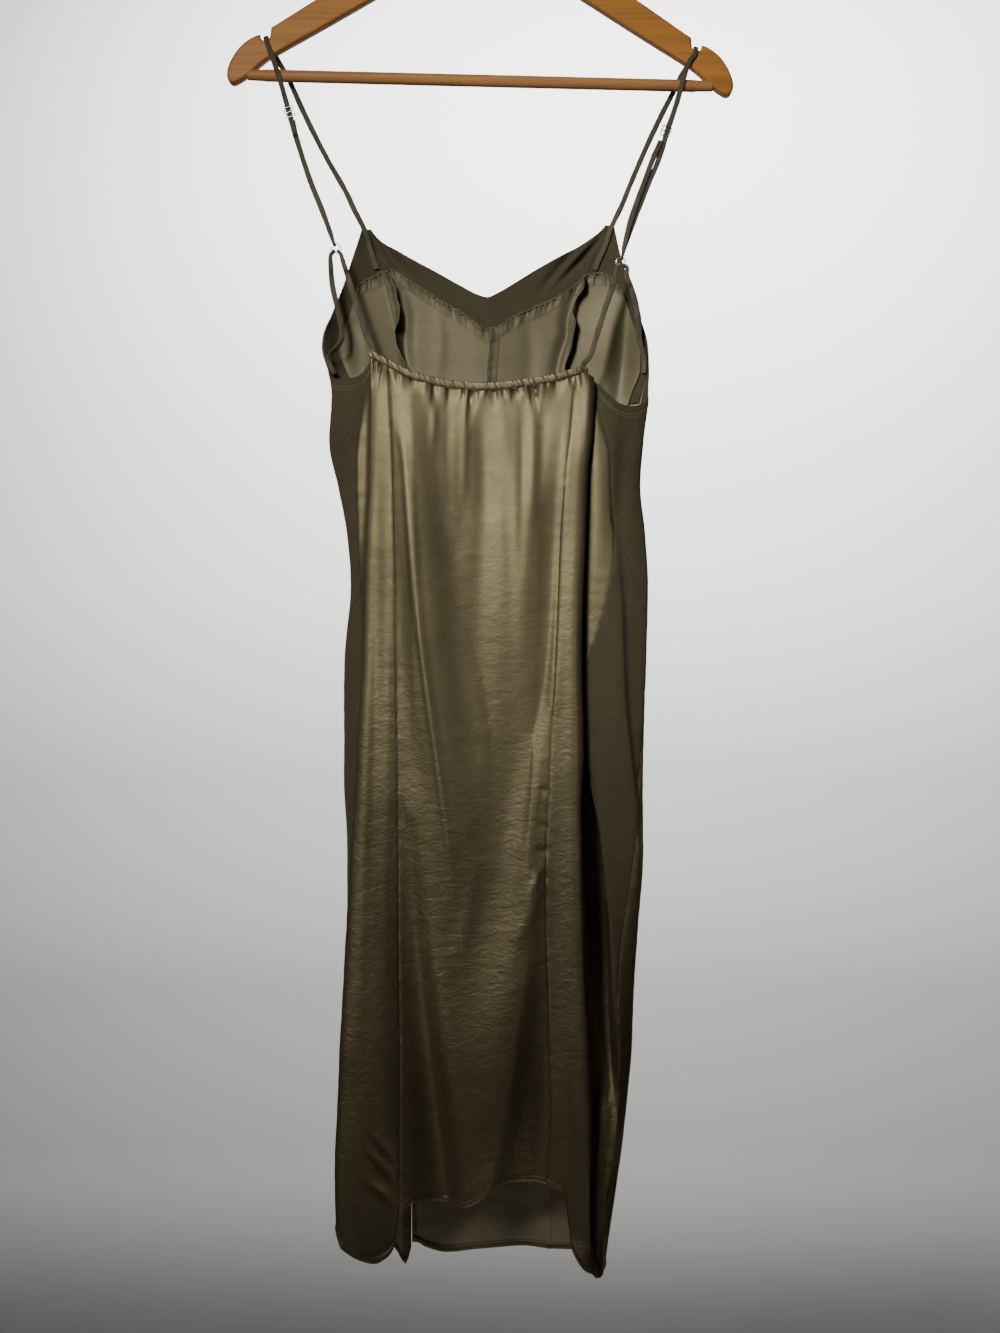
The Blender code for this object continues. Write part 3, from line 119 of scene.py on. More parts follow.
# x of the front's outer edges and princess seams; above the armhole the edges are free.
FRONT_WIDTHS = (
    ("height", "edge_left", "seam_left", "centre", "seam_right", "edge_right"),
    (-322, -103.5, -99.5, 5.5, 112.5, 117.0),
    (-337, -108.0, -98.0, 5.5, 108.5, 120.0),
    (-357, -114.5, -92.5, 5.5, 98.5, 124.5),
    (-380, -122.0, -85.5, 5.5, 90.5, 132.0),
    (-408, -132.0, -79.0, 5.0, 84.5, 140.0),
    (-437, -140.5, -72.0, 4.0, 79.0, 147.5),
    (-456, -135.5, -68.0, 3.0, 76.0, 148.5),
    (-480, -128.0, -66.0, 2.0, 72.0, 142.0),
    (-520, -124.0, -64.0, 1.0, 68.0, 133.0),
    (-650, -104.0, -63.0, 0.0, 65.0, 134.0),
    (-820, -108.0, -62.5, 0.0, 64.0, 131.0),
    (-1000, -108.0, -62.5, 0.0, 64.0, 126.0),
    (-1120, -110.0, -62.5, 0.0, 62.0, 119.0),
    (-1255, -110.0, -62.5, 0.0, 60.0, 101.0),
)
# y of each station group by height.
DEPTHS = (
    ("height", "front", "front_edge", "side_left", "side_right", "valley", "fold", "back",
     "groove", "strip"),
    (-322, 16, 14, 4, 4, -12, -22, -24, -8, -14),
    (-380, 19, 12, 3, 3, -12, -22, -24, -8, -14),
    (-437, 21, 4, 2, 2, -12, -22, -24, -8, -14),
    (-460, 22, 6, 1, 1, -12, -22, -25, -6, -14),
    (-520, 23, 14, 0, 0, -13, -25, -29, 0, -16),
    (-600, 25, 18, 0, 0, -14, -28, -33, 4, -18),
    (-700, 27, 20, 0, 0, -13, -30, -36, 6, -17),
    (-820, 28, 22, 2, 1, -14, -31, -38, 8, -16),
    (-940, 29, 24, 2, 2, -18, -32, -40, 8, -14),
    (-1060, 30, 26, 0, 4, -24, -34, -42, 0, -12),
    (-1120, 30, 26, 0, 3, -26, -34, -42, -14, -18),
    (-1180, 30, 26, 0, -2, -26, -34, -42, -24, -24),
    (-1255, 30, 26, 0, -8, -26, -32, -42, -28, -24),
)
# The stations round the section, in order: side, back from left to right, side, front.
STATIONS = (
    "side_left", "middle_left", "valley", "fold_wall", "fold_left", "shoulder_left", "seam_left",
    "back_1", "back_2", "back_3", "seam_right", "shoulder_right", "fold_right", "groove_in",
    "groove", "groove_out", "strip", "strip_shoulder", "middle_right", "side_right", "front_right",
    "front_seam_right", "front_centre", "front_seam_left", "front_left",
)
LAST = len(STATIONS)
GROOVE_WALL = 0.78          # share of the groove's depth at the stations on its walls
(VALLEY, FOLD_L, SHOULDER_L, SEAM_L, SEAM_R, SHOULDER_R, FOLD_R, GROOVE, STRIP, MIDDLE_R, SIDE_R,
 EDGE_R, FRONT_R, CENTRE, FRONT_L) = (STATIONS.index(name) for name in (
     "valley", "fold_left", "shoulder_left", "seam_left", "seam_right", "shoulder_right",
     "fold_right", "groove", "strip", "middle_right", "side_right", "front_right",
     "front_seam_right", "front_centre", "front_seam_left"))
EDGE_L = -1                 # the station before side_left
LEFT_FRONT = FRONT_L - LAST

# Seams that wander: station number by height.  Below MATTE_END the matte side panels have run out.
SEAMS = (
    ("height", "left_back", "left_front", "right_back", "right_front"),
    (-300, 2.40, EDGE_L, GROOVE + 0.40, EDGE_R),
    (-448, 2.40, EDGE_L, GROOVE + 0.40, EDGE_R),
    (-475, 1.95, -0.90, STRIP - 0.40, EDGE_R - 0.10),
    (-500, 1.70, -0.85, STRIP + 1.10, EDGE_R - 0.15),
    (-540, 1.45, -0.80, STRIP + 1.80, EDGE_R - 0.20),
    (-600, 1.30, -0.75, MIDDLE_R, EDGE_R - 0.30),
    (-648, 1.60, -0.69, STRIP + 1.80, EDGE_R - 0.48),
    (-700, 2.10, -0.60, STRIP + 1.25, EDGE_R - 0.70),
    (-718, 2.17, -0.57, STRIP + 0.35, EDGE_R - 0.79),
    (-760, 2.30, -0.50, GROOVE + 0.60, SIDE_R),
    (-820, 2.20, -0.40, GROOVE + 0.50, SIDE_R - 0.25),
    (-880, 1.90, -0.25, GROOVE + 0.50, SIDE_R - 0.50),
    (-940, 1.50, 0.00, GROOVE + 0.80, SIDE_R - 0.80),
    (-1000, 1.15, 0.50, STRIP - 0.50, STRIP + 1.40),
    (-1040, 1.07, 0.93, STRIP - 0.30, STRIP + 0.05),
    (-1170, 1.00, 1.00, STRIP - 0.45, STRIP - 0.45),
    (-1260, 1.00, 1.00, STRIP - 0.45, STRIP - 0.45),
)
# The left front seam opens into a slit.
SLIT_EDGES = (
    ("height", "slit_center", "slit_side"),
    (-300, FRONT_L, LEFT_FRONT),
    (-1170, FRONT_L, LEFT_FRONT),
    (-1260, FRONT_L - 0.01, LEFT_FRONT + 0.01),
)
# Top edges: height by station.
BACK_TOP = (
    (VALLEY, -443.5), (FOLD_L, -443.5), (SHOULDER_L, -446.5), (SEAM_L, -453.0),
    (SEAM_L + 0.6, -464.0), (SEAM_L + 1.3, -470.5), (SEAM_L + 2.0, -472.5), (SEAM_L + 2.7, -470.5),
    (SEAM_R - 0.6, -466.0), (SEAM_R, -460.0), (SHOULDER_R, -458.0), (FOLD_R, -459.5),
    (STRIP, -459.5),
)
SIDE_LEFT_TOP = (
    (EDGE_L, -448.0), (-0.5, -459.0), (0.0, -463.5), (0.6, -466.5), (1.2, -466.0), (1.6, -463.0),
    (2.0, -455.5), (2.3, -451.0), (2.5, -451.0),
)
SIDE_RIGHT_TOP = (
    (GROOVE, -467.0), (GROOVE + 0.6, -467.0), (STRIP, -469.0), (STRIP + 1, -473.0),
    (STRIP + 1.6, -483.0), (MIDDLE_R, -489.0), (MIDDLE_R + 0.4, -491.0), (MIDDLE_R + 0.8, -486.0),
    (SIDE_R + 0.2, -474.0), (SIDE_R + 0.7, -459.0), (EDGE_R, -448.0),
)
FRONT_TOP = (
    (FRONT_R, -326.5), (FRONT_R + 0.25, -346.0), (FRONT_R + 0.5, -363.0), (FRONT_R + 0.75, -379.0),
    (FRONT_R + 0.9, -387.0), (CENTRE, -390.5), (CENTRE + 0.1, -388.0), (CENTRE + 0.25, -380.5),
    (CENTRE + 0.5, -365.0), (CENTRE + 0.75, -349.0), (FRONT_L, -330.0),
)
PEAK_LEFT, PEAK_RIGHT = -331.0, -327.5
# Hems: height by station, the back from its left side seam to its right one, then the front.
HEM_SIDE_LEFT = (
    (1.0, -1212.0), (FOLD_L, -1206.0), (FOLD_L + 0.6, -1213.0), (SHOULDER_L + 0.1, -1222.0),
    (SHOULDER_L + 0.4, -1230.0), (SHOULDER_L + 0.62, -1233.5), (SHOULDER_L + 0.8, -1229.0),
    (SHOULDER_L + 0.9, -1222.0), (SEAM_L - 0.04, -1206.0), (SEAM_L, -1191.0),
)
HEM_BACK = (
    (SEAM_L, -1190.0), (SEAM_L + 0.35, -1184.5), (SEAM_L + 0.8, -1184.0), (SEAM_L + 1.7, -1188.5),
    (SEAM_L + 2.1, -1183.0), (SEAM_L + 2.6, -1171.0), (SEAM_R - 0.9, -1166.0),
    (SEAM_R - 0.4, -1166.0), (SEAM_R, -1168.5),
)
HEM_SIDE_RIGHT = (
    (SEAM_R, -1169.0), (SEAM_R + 0.35, -1178.0), (SEAM_R + 0.42, -1200.0), (SEAM_R + 0.5, -1224.0),
    (SEAM_R + 0.8, -1240.0), (SHOULDER_R + 0.5, -1246.0), (FOLD_R, -1248.0), (GROOVE, -1249.0),
    (STRIP, -1250.0),
)
HEM_FRONT_RIGHT = (
    (STRIP - 0.5, -1250.0), (SIDE_R, -1246.0), (EDGE_R, -1243.0), (FRONT_R, -1241.0),
)
HEM_FRONT = (
    (FRONT_R, -1241.0), (FRONT_R + 0.4, -1239.0), (CENTRE, -1241.0), (CENTRE + 0.5, -1245.0),
    (CENTRE + 0.8, -1240.0), (FRONT_L - 0.1, -1236.0), (FRONT_L, -1235.0),
)
HEM_FRONT_LEFT = (
    (LEFT_FRONT, -1238.0), (LEFT_FRONT + 0.1, -1255.0), (LEFT_FRONT + 0.3, -1240.0),
    (EDGE_L, -1225.0), (1.0, -1214.0),
)

# Large folds: top and foot heights, place across the panel there (0 at its first seam, 1 at the
# other), width and outward depth, negative for a valley.
BACK_FOLDS = (
    (-480, -900, 0.05, 0.40, 0.11, 5.0),       # ridge from the left corner
    (-560, -980, 0.22, 0.55, 0.14, -1.0),      # hollow beside it
    (-500, -960, 0.97, 0.62, 0.09, -1.5),      # valley from the right corner
    (-540, -900, 0.84, 0.86, 0.08, 3.5),       # ridge beside the right seam
)
FRONT_FOLDS = (
    (-600, -1260, 0.30, 0.22, 0.12, 4.0),
    (-640, -1260, 0.66, 0.74, 0.14, 5.0),
    (-560, -1200, 0.48, 0.50, 0.12, -3.0),
)
# Inner layers of the front: top edge of the satin lining and foot of the matte facing.
LINING_SEAM = CENTRE - 0.15
LINING_TOP_LEFT = (
    (LINING_SEAM, -416.0), (CENTRE - 0.08, -420.5), (CENTRE, -420.5), (CENTRE + 0.08, -417.5),
    (CENTRE + 0.18, -409.0), (CENTRE + 0.39, -398.0), (CENTRE + 0.66, -380.5),
    (CENTRE + 0.88, -367.5), (FRONT_L, -369.0),
)
LINING_TOP_RIGHT = (
    (FRONT_R, -372.0), (FRONT_R + 0.06, -378.0), (FRONT_R + 0.32, -393.0),
    (FRONT_R + 0.63, -405.0), (LINING_SEAM, -416.0),
)
LINING_SIDE_TOP_LEFT = (
    (-2.0, -369.0), (-1.84, -372.0), (-1.60, -376.0), (-1.40, -380.0), (-1.0, -381.0),
)
LINING_SIDE_TOP_RIGHT = (
    (EDGE_R, -389.0), (EDGE_R + 0.20, -389.0), (EDGE_R + 0.40, -374.5), (EDGE_R + 0.74, -370.0),
    (FRONT_R, -372.0),
)
LINING_FOOT = -505.0
FACING_FOOT = -486.0

# Straps: (x, y, z, width).  The long one starts at the slider, goes down to the ring and round it,
# comes up behind itself, goes over the hanger's notch and down to the front peak.
LONG_FRONT_LEFT = (
    (-164.7, -12.3, -242.0, 4.6), (-161.0, -12.7, -258.5, 4.8), (-149.5, -13.7, -293.8, 4.8),
    (-138.9, -14.8, -320.3, 4.8), (-132.2, -15.4, -338.5, 4.2),
)
LONG_REAR_LEFT = (
    (-132.2, -12.8, -338.5, 4.2), (-138.9, -13.0, -320.3, 4.8), (-149.5, -12.0, -293.8, 4.8),
    (-161.0, -11.0, -258.5, 4.8), (-168.1, -10.0, -233.7, 4.8), (-176.2, -8.6, -205.1, 4.8),
    (-181.5, -7.8, -189.1, 4.8), (-187.0, -7.4, -174.0, 4.4), (-188.6, -7.1, -168.6, 4.2),
    (-188.9, -5.4, -166.4, 4.2), (-188.9, 5.4, -166.4, 4.2), (-188.4, 7.1, -168.6, 4.2),
    (-186.0, 7.4, -173.5, 4.4), (-177.1, 7.8, -187.5, 4.8), (-169.2, 8.2, -202.0, 4.8),
    (-156.0, 9.0, -231.0, 4.8), (-138.4, 10.0, -266.0, 4.8), (-120.8, 10.6, -296.8, 4.8),
    (-112.5, 9.6, -314.5, 4.8),
)
LONG_FRONT_RIGHT = (
    (157.4, -12.0, -259.5, 4.6), (150.2, -12.7, -276.0, 4.8), (142.0, -13.7, -298.2, 4.8),
    (131.0, -14.8, -329.0, 4.8), (125.6, -15.4, -350.5, 4.2),
)
LONG_REAR_RIGHT = (
    (126.4, -12.8, -350.5, 4.2), (134.0, -12.8, -329.0, 4.8), (146.0, -11.8, -298.2, 4.8),
    (155.5, -10.8, -276.0, 4.8), (163.2, -9.8, -250.4, 4.8), (171.0, -9.0, -227.3, 4.8),
    (177.3, -8.4, -205.1, 4.8), (182.3, -7.8, -190.0, 4.8), (187.2, -7.4, -183.0, 4.4),
    (188.6, -7.1, -177.8, 4.2), (188.9, -5.4, -175.6, 4.2), (188.9, 5.4, -175.6, 4.2),
    (188.4, 7.1, -177.8, 4.2), (186.4, 7.4, -182.6, 4.4), (178.4, 7.8, -194.5, 4.8),
    (169.0, 8.2, -213.0, 4.8), (158.4, 9.0, -233.6, 4.8), (145.2, 10.0, -261.7, 4.8),
    (132.0, 10.6, -292.5, 4.8), (124.5, 9.6, -311.0, 4.8),
)
# Inside stretch of the same strap, on the facing: (x, z); it stops above the lining's edge.
STRAP_INSIDE_LEFT = ((-104.4, -333.5), (-98.7, -349.5), (-93.4, -366.0))
STRAP_INSIDE_RIGHT = ((116.4, -331.0), (112.6, -341.5), (105.8, -356.4), (101.2, -367.0))
# Short straps, from the ring to the edge they are sewn to.
OUTER_STRAP_LEFT = (
    (-131.2, -15.2, -367.0, 4.4), (-129.8, -13.2, -385.8, 4.8), (-126.2, -11.2, -402.9, 4.8),
    (-122.6, -8.6, -420.1, 4.8), (-123.4, -5.0, -434.0, 4.8),
)
INNER_STRAP_LEFT = (
    (-119.4, -16.0, -369.0, 4.4), (-117.0, -16.6, -376.0, 4.8), (-109.7, -18.0, -399.9, 4.8),
    (-102.5, -19.6, -422.1, 4.8), (-98.8, -19.8, -434.0, 4.8),
)
OUTER_STRAP_RIGHT = (
    (127.4, -15.2, -378.0, 4.4), (130.4, -13.2, -385.5, 4.8), (134.9, -10.0, -398.4, 4.8),
    (138.4, -6.6, -415.5, 4.8), (139.2, -2.0, -431.0, 4.8),
)
INNER_STRAP_RIGHT = (
    (116.6, -16.0, -381.0, 4.4), (113.6, -16.6, -391.5, 4.8), (106.5, -18.0, -413.0, 4.8),
    (99.6, -19.6, -435.1, 4.8), (95.6, -19.8, -448.0, 4.8),
)
# Their sewn ends on the inside of an edge: (station, z).
OUTER_END_LEFT = ((EDGE_L - 0.11, -447.0), (EDGE_L - 0.10, -461.0))
OUTER_END_RIGHT = ((EDGE_R + 0.12, -445.0), (EDGE_R + 0.10, -460.0))
INNER_END_LEFT = ((FOLD_L + 0.35, -442.0), (FOLD_L + 0.35, -450.0))
INNER_END_RIGHT = ((FOLD_R - 0.45, -456.5), (FOLD_R - 0.45, -465.0))
RING_LEFT, RING_RIGHT = (-126.6, -14.0, -354.0), (122.3, -14.0, -366.2)
SLIDER_LEFT, SLIDER_RIGHT = (-167.6, -11.7, -234.2), (162.0, -11.5, -250.8)
LEAN_LEFT, LEAN_RIGHT = math.radians(-17), math.radians(20)
ACROSS_LEFT, ACROSS_RIGHT = np.array((0.94, 0, 0.34)), np.array((0.94, 0, -0.34))

# Hanger arm outline, right half, from the top of the neck round the tip to the bottom of the neck.
ARM_OUTLINE = (
    (0, NECK_TOP), (14, -61.5), (27, -64), (40, -70), (60, -82), (96, -105), (138, -131.5),
    (178, -158), (184.2, -162.0), (185.2, -168), (186.2, -171.5), (191.6, -173.5), (193.6, -171.6),
    (194.9, -168.8), (203, -172.5), (211, -179), (217.5, -188), (221.5, -197), (222.7, -204),
    (221, -210), (217, -212.5), (211, -210), (203, -204), (192, -194), (181, -186), (138, -160.5),
    (91, -132), (50, -108), (28, -98), (12, -94.5), (0, -94),
)
# Creases laid on the solids' form, seen from -Y: outward depth (negative for a trough), half width
# on the left and on the right, and the places (x, z) that it runs through.
BACK_CREASES = (
    (2.2, 2.2, 3.0, ((-70, -516), (-65.5, -536), (-61, -584), (-54, -670), (-46.5, -731),
        (-37, -800), (-29, -861), (-22, -915))),
    (6.5, 12, 20, ((-72, -500), (-66, -540), (-61, -584), (-54, -670), (-46.5, -731), (-37, -800),
        (-29, -861), (-20, -930))),
    (-6.5, 14, 6, ((70, -540), (67, -585), (65, -627), (59, -696), (52, -745), (42, -790),
        (31, -880), (20, -960))),
    (2.0, 3, 4, ((74, -530), (72, -575), (69, -627), (65, -690), (61, -760))),
    (-12.0, 8, 2.6, ((97, -820), (101, -880), (105.5, -940), (109, -1000), (112, -1050),
        (113, -1090))),
    (7.0, 5, 6, ((95, -440), (95, -465), (94.5, -495), (93, -540))),
    (2.4, 5, 5, ((53, -893), (44, -925), (29, -960))),
    (-17.0, 15, 8, ((-64, -860), (-58, -950), (-45.5, -1060), (-39, -1110), (-34, -1155),
        (-26, -1240), (-12, -1380))),
    (9.0, 24, 9, ((48, -860), (43, -920), (38, -982), (30, -1040), (23, -1086), (9, -1155),
        (-6, -1220), (-32, -1330))),
    (-6.0, 18, 22, ((57, -860), (57, -940), (57, -1000), (56, -1060), (53, -1120), (49, -1200),
        (46, -1300))),
    (-1.7, 2.0, 2.0, ((59, -824), (55, -826), (50, -823))),
    (-1.7, 2.2, 2.2, ((59, -855), (54, -857), (49, -853))),
    (-1.7, 2.4, 2.4, ((59, -876), (53, -879), (47, -874))),
    (1.4, 2.5, 2.5, ((57, -889), (48, -901), (38, -925))),
    (-1.7, 2.2, 2.2, ((58, -903), (53, -899), (48, -893))),
    # the cloth turns in towards the hem
    (-18.0, 16, 50, ((-104, -1226), (-50, -1214), (-10, -1206), (30, -1196), (70, -1205),
        (112, -1216))),
    # soft upright folds that come down from the gathers
    (0.8, 2.2, 2.6, ((-41, -484), (-40.5, -505), (-42, -530))),
    (0.8, 2.6, 2.6, ((-13.5, -490), (-14, -530), (-15, -578))),
    (-1.2, 6, 6, ((2, -500), (2, -570), (0, -640), (-4, -720))),
    (0.9, 6, 5, ((17, -492), (17, -560), (19, -640), (20, -720))),
    (-0.9, 2.8, 3.2, ((36, -488), (36, -540), (35, -600), (33, -650))),
    (-0.9, 3.5, 4, ((55, -480), (54, -520), (52, -565), (51, -610))),
    (0.7, 3, 3, ((45, -484), (45, -530), (44, -590))),
    (-0.8, 3, 4, ((-26, -486), (-28, -530), (-26, -590))),
    # the dent low on each side, outside the bowl
    (-1.6, 6, 6, ((-72, -1010), (-70, -1080), (-66, -1150))),
    (-2.2, 6, 7, ((56, -1040), (55, -1090), (50, -1150))),
    (-2.4, 2.5, 3, ((-101, -1133), (-86, -1148), (-72, -1163))),
    (-2.4, 2.5, 3, ((-98, -1117), (-84, -1133), (-73, -1146))),
    (-2.2, 2.5, 3, ((-100, -1160), (-86, -1172), (-74, -1184))),
    (-1.1, 6, 8, ((-66, -620), (-68, -700), (-66, -780))),
    (1.3, 5, 7, ((20, -500), (28, -560), (34, -640), (33, -720))),
    (-1.2, 6, 7, ((2, -490), (4, -540), (8, -600))),
    (1.2, 5, 6, ((-22, -500), (-26, -550), (-22, -610))),
    (-1.3, 4, 6, ((-8, -690), (4, -740), (10, -800), (8, -860))),
    (1.5, 5, 5, ((-60, -800), (-54, -860), (-50, -915))),
    (1.3, 6, 5, ((-4, -880), (-10, -930), (-20, -975))),
    # the satin columns beside the centre
    (-0.9, 3, 4, ((-88, -520), (-90, -640), (-91, -760), (-95, -900))),
    (1.0, 4, 4, ((-82, -560), (-80, -700), (-80, -850), (-82, -1000))),
    (0.9, 4, 4, ((-97, -700), (-100, -830), (-104, -960), (-108, -1080))),
    (1.0, 4, 4, ((84, -560), (80, -700), (78, -850), (80, -1000))),
    (-0.9, 3, 4, ((76, -1040), (82, -1110), (84, -1190))),
    # the matte panel on the right
    (3.5, 12, 6, ((113, -470), (114, -520), (113, -580), (110, -650))),
    (-3.0, 6, 12, ((-97, -450), (-98, -540), (-100, -610), (-102, -680), (-104, -760))),
    (0.8, 5, 4, ((80, -640), (82, -720), (84, -850), (88, -960))),
    (8.0, 12, 3.5, ((113.6, -600), (119.7, -661), (122.4, -748), (128, -808), (134, -866),
        (137, -930))),
    (-1.6, 6, 5, ((124, -520), (118, -580), (108, -640))),
    (1.4, 6, 6, ((136, -520), (131, -600), (134, -680))),
    # the satin that wraps round from the front, puckered across
    (1.2, 3, 3, ((132, -770), (138, -776), (143, -774))),
    (1.2, 3, 3, ((131, -800), (137, -806), (143, -805))),
    (1.1, 3, 3, ((130, -838), (136, -842), (142, -842))),
    (1.2, 3, 3, ((129, -872), (135, -878), (142, -877))),
    (1.1, 3, 3, ((127, -908), (134, -912), (141, -912))),
    (-1.8, 4, 5, ((112, -1046), (116, -1085), (118, -1130))),
    (1.6, 4, 4, ((108, -1060), (110, -1110), (107, -1160))),
)
FRONT_CREASES = (
    (2.8, 8, 12, ((-58, -520), (-50, -640), (-38, -780), (-30, -920), (-34, -1060), (-40, -1200))),
    (-2.6, 12, 9, ((-30, -560), (-18, -700), (-8, -860), (-2, -1000), (2, -1150))),
    (2.6, 10, 8, ((24, -520), (20, -650), (24, -800), (30, -960), (26, -1120), (22, -1215))),
    (-2.4, 8, 10, ((52, -600), (46, -740), (50, -900), (46, -1060), (42, -1190))),
    (2.2, 8, 8, ((84, -560), (88, -700), (92, -850), (88, -1000), (84, -1150))),
    (-1.8, 6, 7, ((104, -640), (108, -780), (108, -920))),
    (-2.0, 8, 7, ((-84, -620), (-82, -760), (-86, -900), (-90, -1040), (-92, -1170))),
    (-0.9, 3, 5, ((60, -700), (48, -730), (30, -780))),
    (0.9, 4, 5, ((-60, -980), (-46, -1030), (-22, -1100))),
    # soft folds in the top of the front, near its peaks
    (6.5, 2.0, 3, ((-96, -330), (-84, -349), (-70, -370))),
    (4.5, 1.8, 2, ((-106, -330), (-97, -345), (-86, -362))),
    (-4.0, 2.5, 3, ((-86, -336), (-71, -353), (-54, -372))),
    (6.5, 3, 2.0, ((96, -338), (76, -358), (54, -384))),
    (4.5, 2, 2, ((110, -334), (92, -354), (70, -378))),
    (-4.0, 3, 2.5, ((104, -336), (84, -354), (60, -380))),
    # hollows beside the lining's seams and inside the armholes
    (5.0, 2.2, 4.5, ((-72, -380), (-70.6, -393), (-67.9, -409), (-68.8, -424), (-68.6, -437),
        (-66, -455), (-64, -480))),
    (4.5, 4.0, 2.2, ((86, -380), (80.5, -396), (77, -410), (76, -425), (71, -440), (67, -460),
        (66, -480))),
    (12.0, 7, 8, ((-127, -410), (-123, -440), (-119, -480))),
    (8.0, 5, 8, ((132, -395), (127, -430), (124, -460), (122, -490))),
    (-1.0, 4, 4, ((-40, -400), (-36, -430), (-40, -470))),
    (1.0, 5, 5, ((40, -408), (44, -440), (40, -480))),
)
# Tucks below the elastic casing: longest one, spacing, depth and seed.
GATHERS = ((34.0, 5.6, 2.2, 21), (17.0, 3.0, 1.8, 24))
NOISE_CELLS = 24
# Seams of SEAMS, or stations, that show a line of stitching, with its top and foot.
SEAM_LINES = (
    (SEAM_L, -449.0, TUBE_FOOT), (SEAM_R, -449.0, TUBE_FOOT),
    (FRONT_R, -320.0, TUBE_FOOT), (FRONT_L, -320.0, TUBE_FOOT),
    ("left_back", -448.0, MATTE_END), ("left_front", -448.0, TUBE_FOOT),
    ("right_back", -448.0, MATTE_END), ("right_front", -448.0, TUBE_FOOT),
)


# ---------------------------------------------------------------- small helpers
def smooth_step(value):
    """0 to 1, eased at both ends."""
    value = np.clip(value, 0, 1)
    return value * value * (3 - 2 * value)


def bell(value):
    """1 at 0, falling off on both sides."""
    return np.exp(-0.5 * value ** 2)


def squarish(value, power):
    """A sine or cosine drawn towards its ends, for the section of a flattened tube."""
    return np.sign(value) * np.abs(value) ** power


def unit(vectors):
    """The vectors at length 1."""
    return vectors / np.maximum(np.linalg.norm(vectors, axis=-1, keepdims=True), 1e-9)


def run_along(points):
    """Length of a path up to each of its points."""
    return np.cumsum(np.concatenate([[0], np.linalg.norm(np.diff(points, axis=0), axis=1)]))


def turns(count):
    """Angles that part a full turn."""
    return np.linspace(0, math.tau, count, endpoint=False)


def on_line(run):
    """Places on a straight line, to read noise from."""
    return np.stack([run, 0 * run, 0 * run], axis=-1)


# ---------------------------------------------------------------- reading the tables
def column(table, name, height):
    """Smooth value of one column at the given heights; the rows run from high to low."""
    rows = np.array(table[1:], dtype=float)[::-1]
    level, value = rows[:, 0], rows[:, table[0].index(name)]
    return hermite(level, value, np.clip(height, level[0], level[-1]))


def hermite(x, y, at):
    """Cubic through the points, with slopes that never overshoot a peak or a valley."""
    step, rise = np.diff(x), np.diff(y)
    slope = rise / step
    tangent = np.concatenate([[slope[0]], np.zeros(len(slope) - 1), [slope[-1]]])
    same = slope[:-1] * slope[1:] > 0
    mean = 2 * slope[:-1] * slope[1:] / np.where(same, slope[:-1] + slope[1:], 1.0)
    tangent[1:-1] = np.where(same, mean, 0.0)
    index = np.clip(np.searchsorted(x, at, side="right") - 1, 0, len(step) - 1)
    part = (at - x[index]) / step[index]
    h00 = (1 + 2 * part) * (1 - part) ** 2
    h10 = part * (1 - part) ** 2
    h01 = part ** 2 * (3 - 2 * part)
    h11 = part ** 2 * (part - 1)
    return (h00 * y[index] + h10 * step[index] * tangent[index]
            + h01 * y[index + 1] + h11 * step[index] * tangent[index + 1])


def edge_height(table, station):
    """Height of an edge at the given stations."""
    rows = np.array(table, dtype=float)
    return hermite(rows[:, 0], rows[:, 1], np.clip(station, rows[0, 0], rows[-1, 0]))


def wandering(name, height):
    """Station of a seam at the given heights."""
    return column(SLIT_EDGES if name in SLIT_EDGES[0] else SEAMS, name, height)


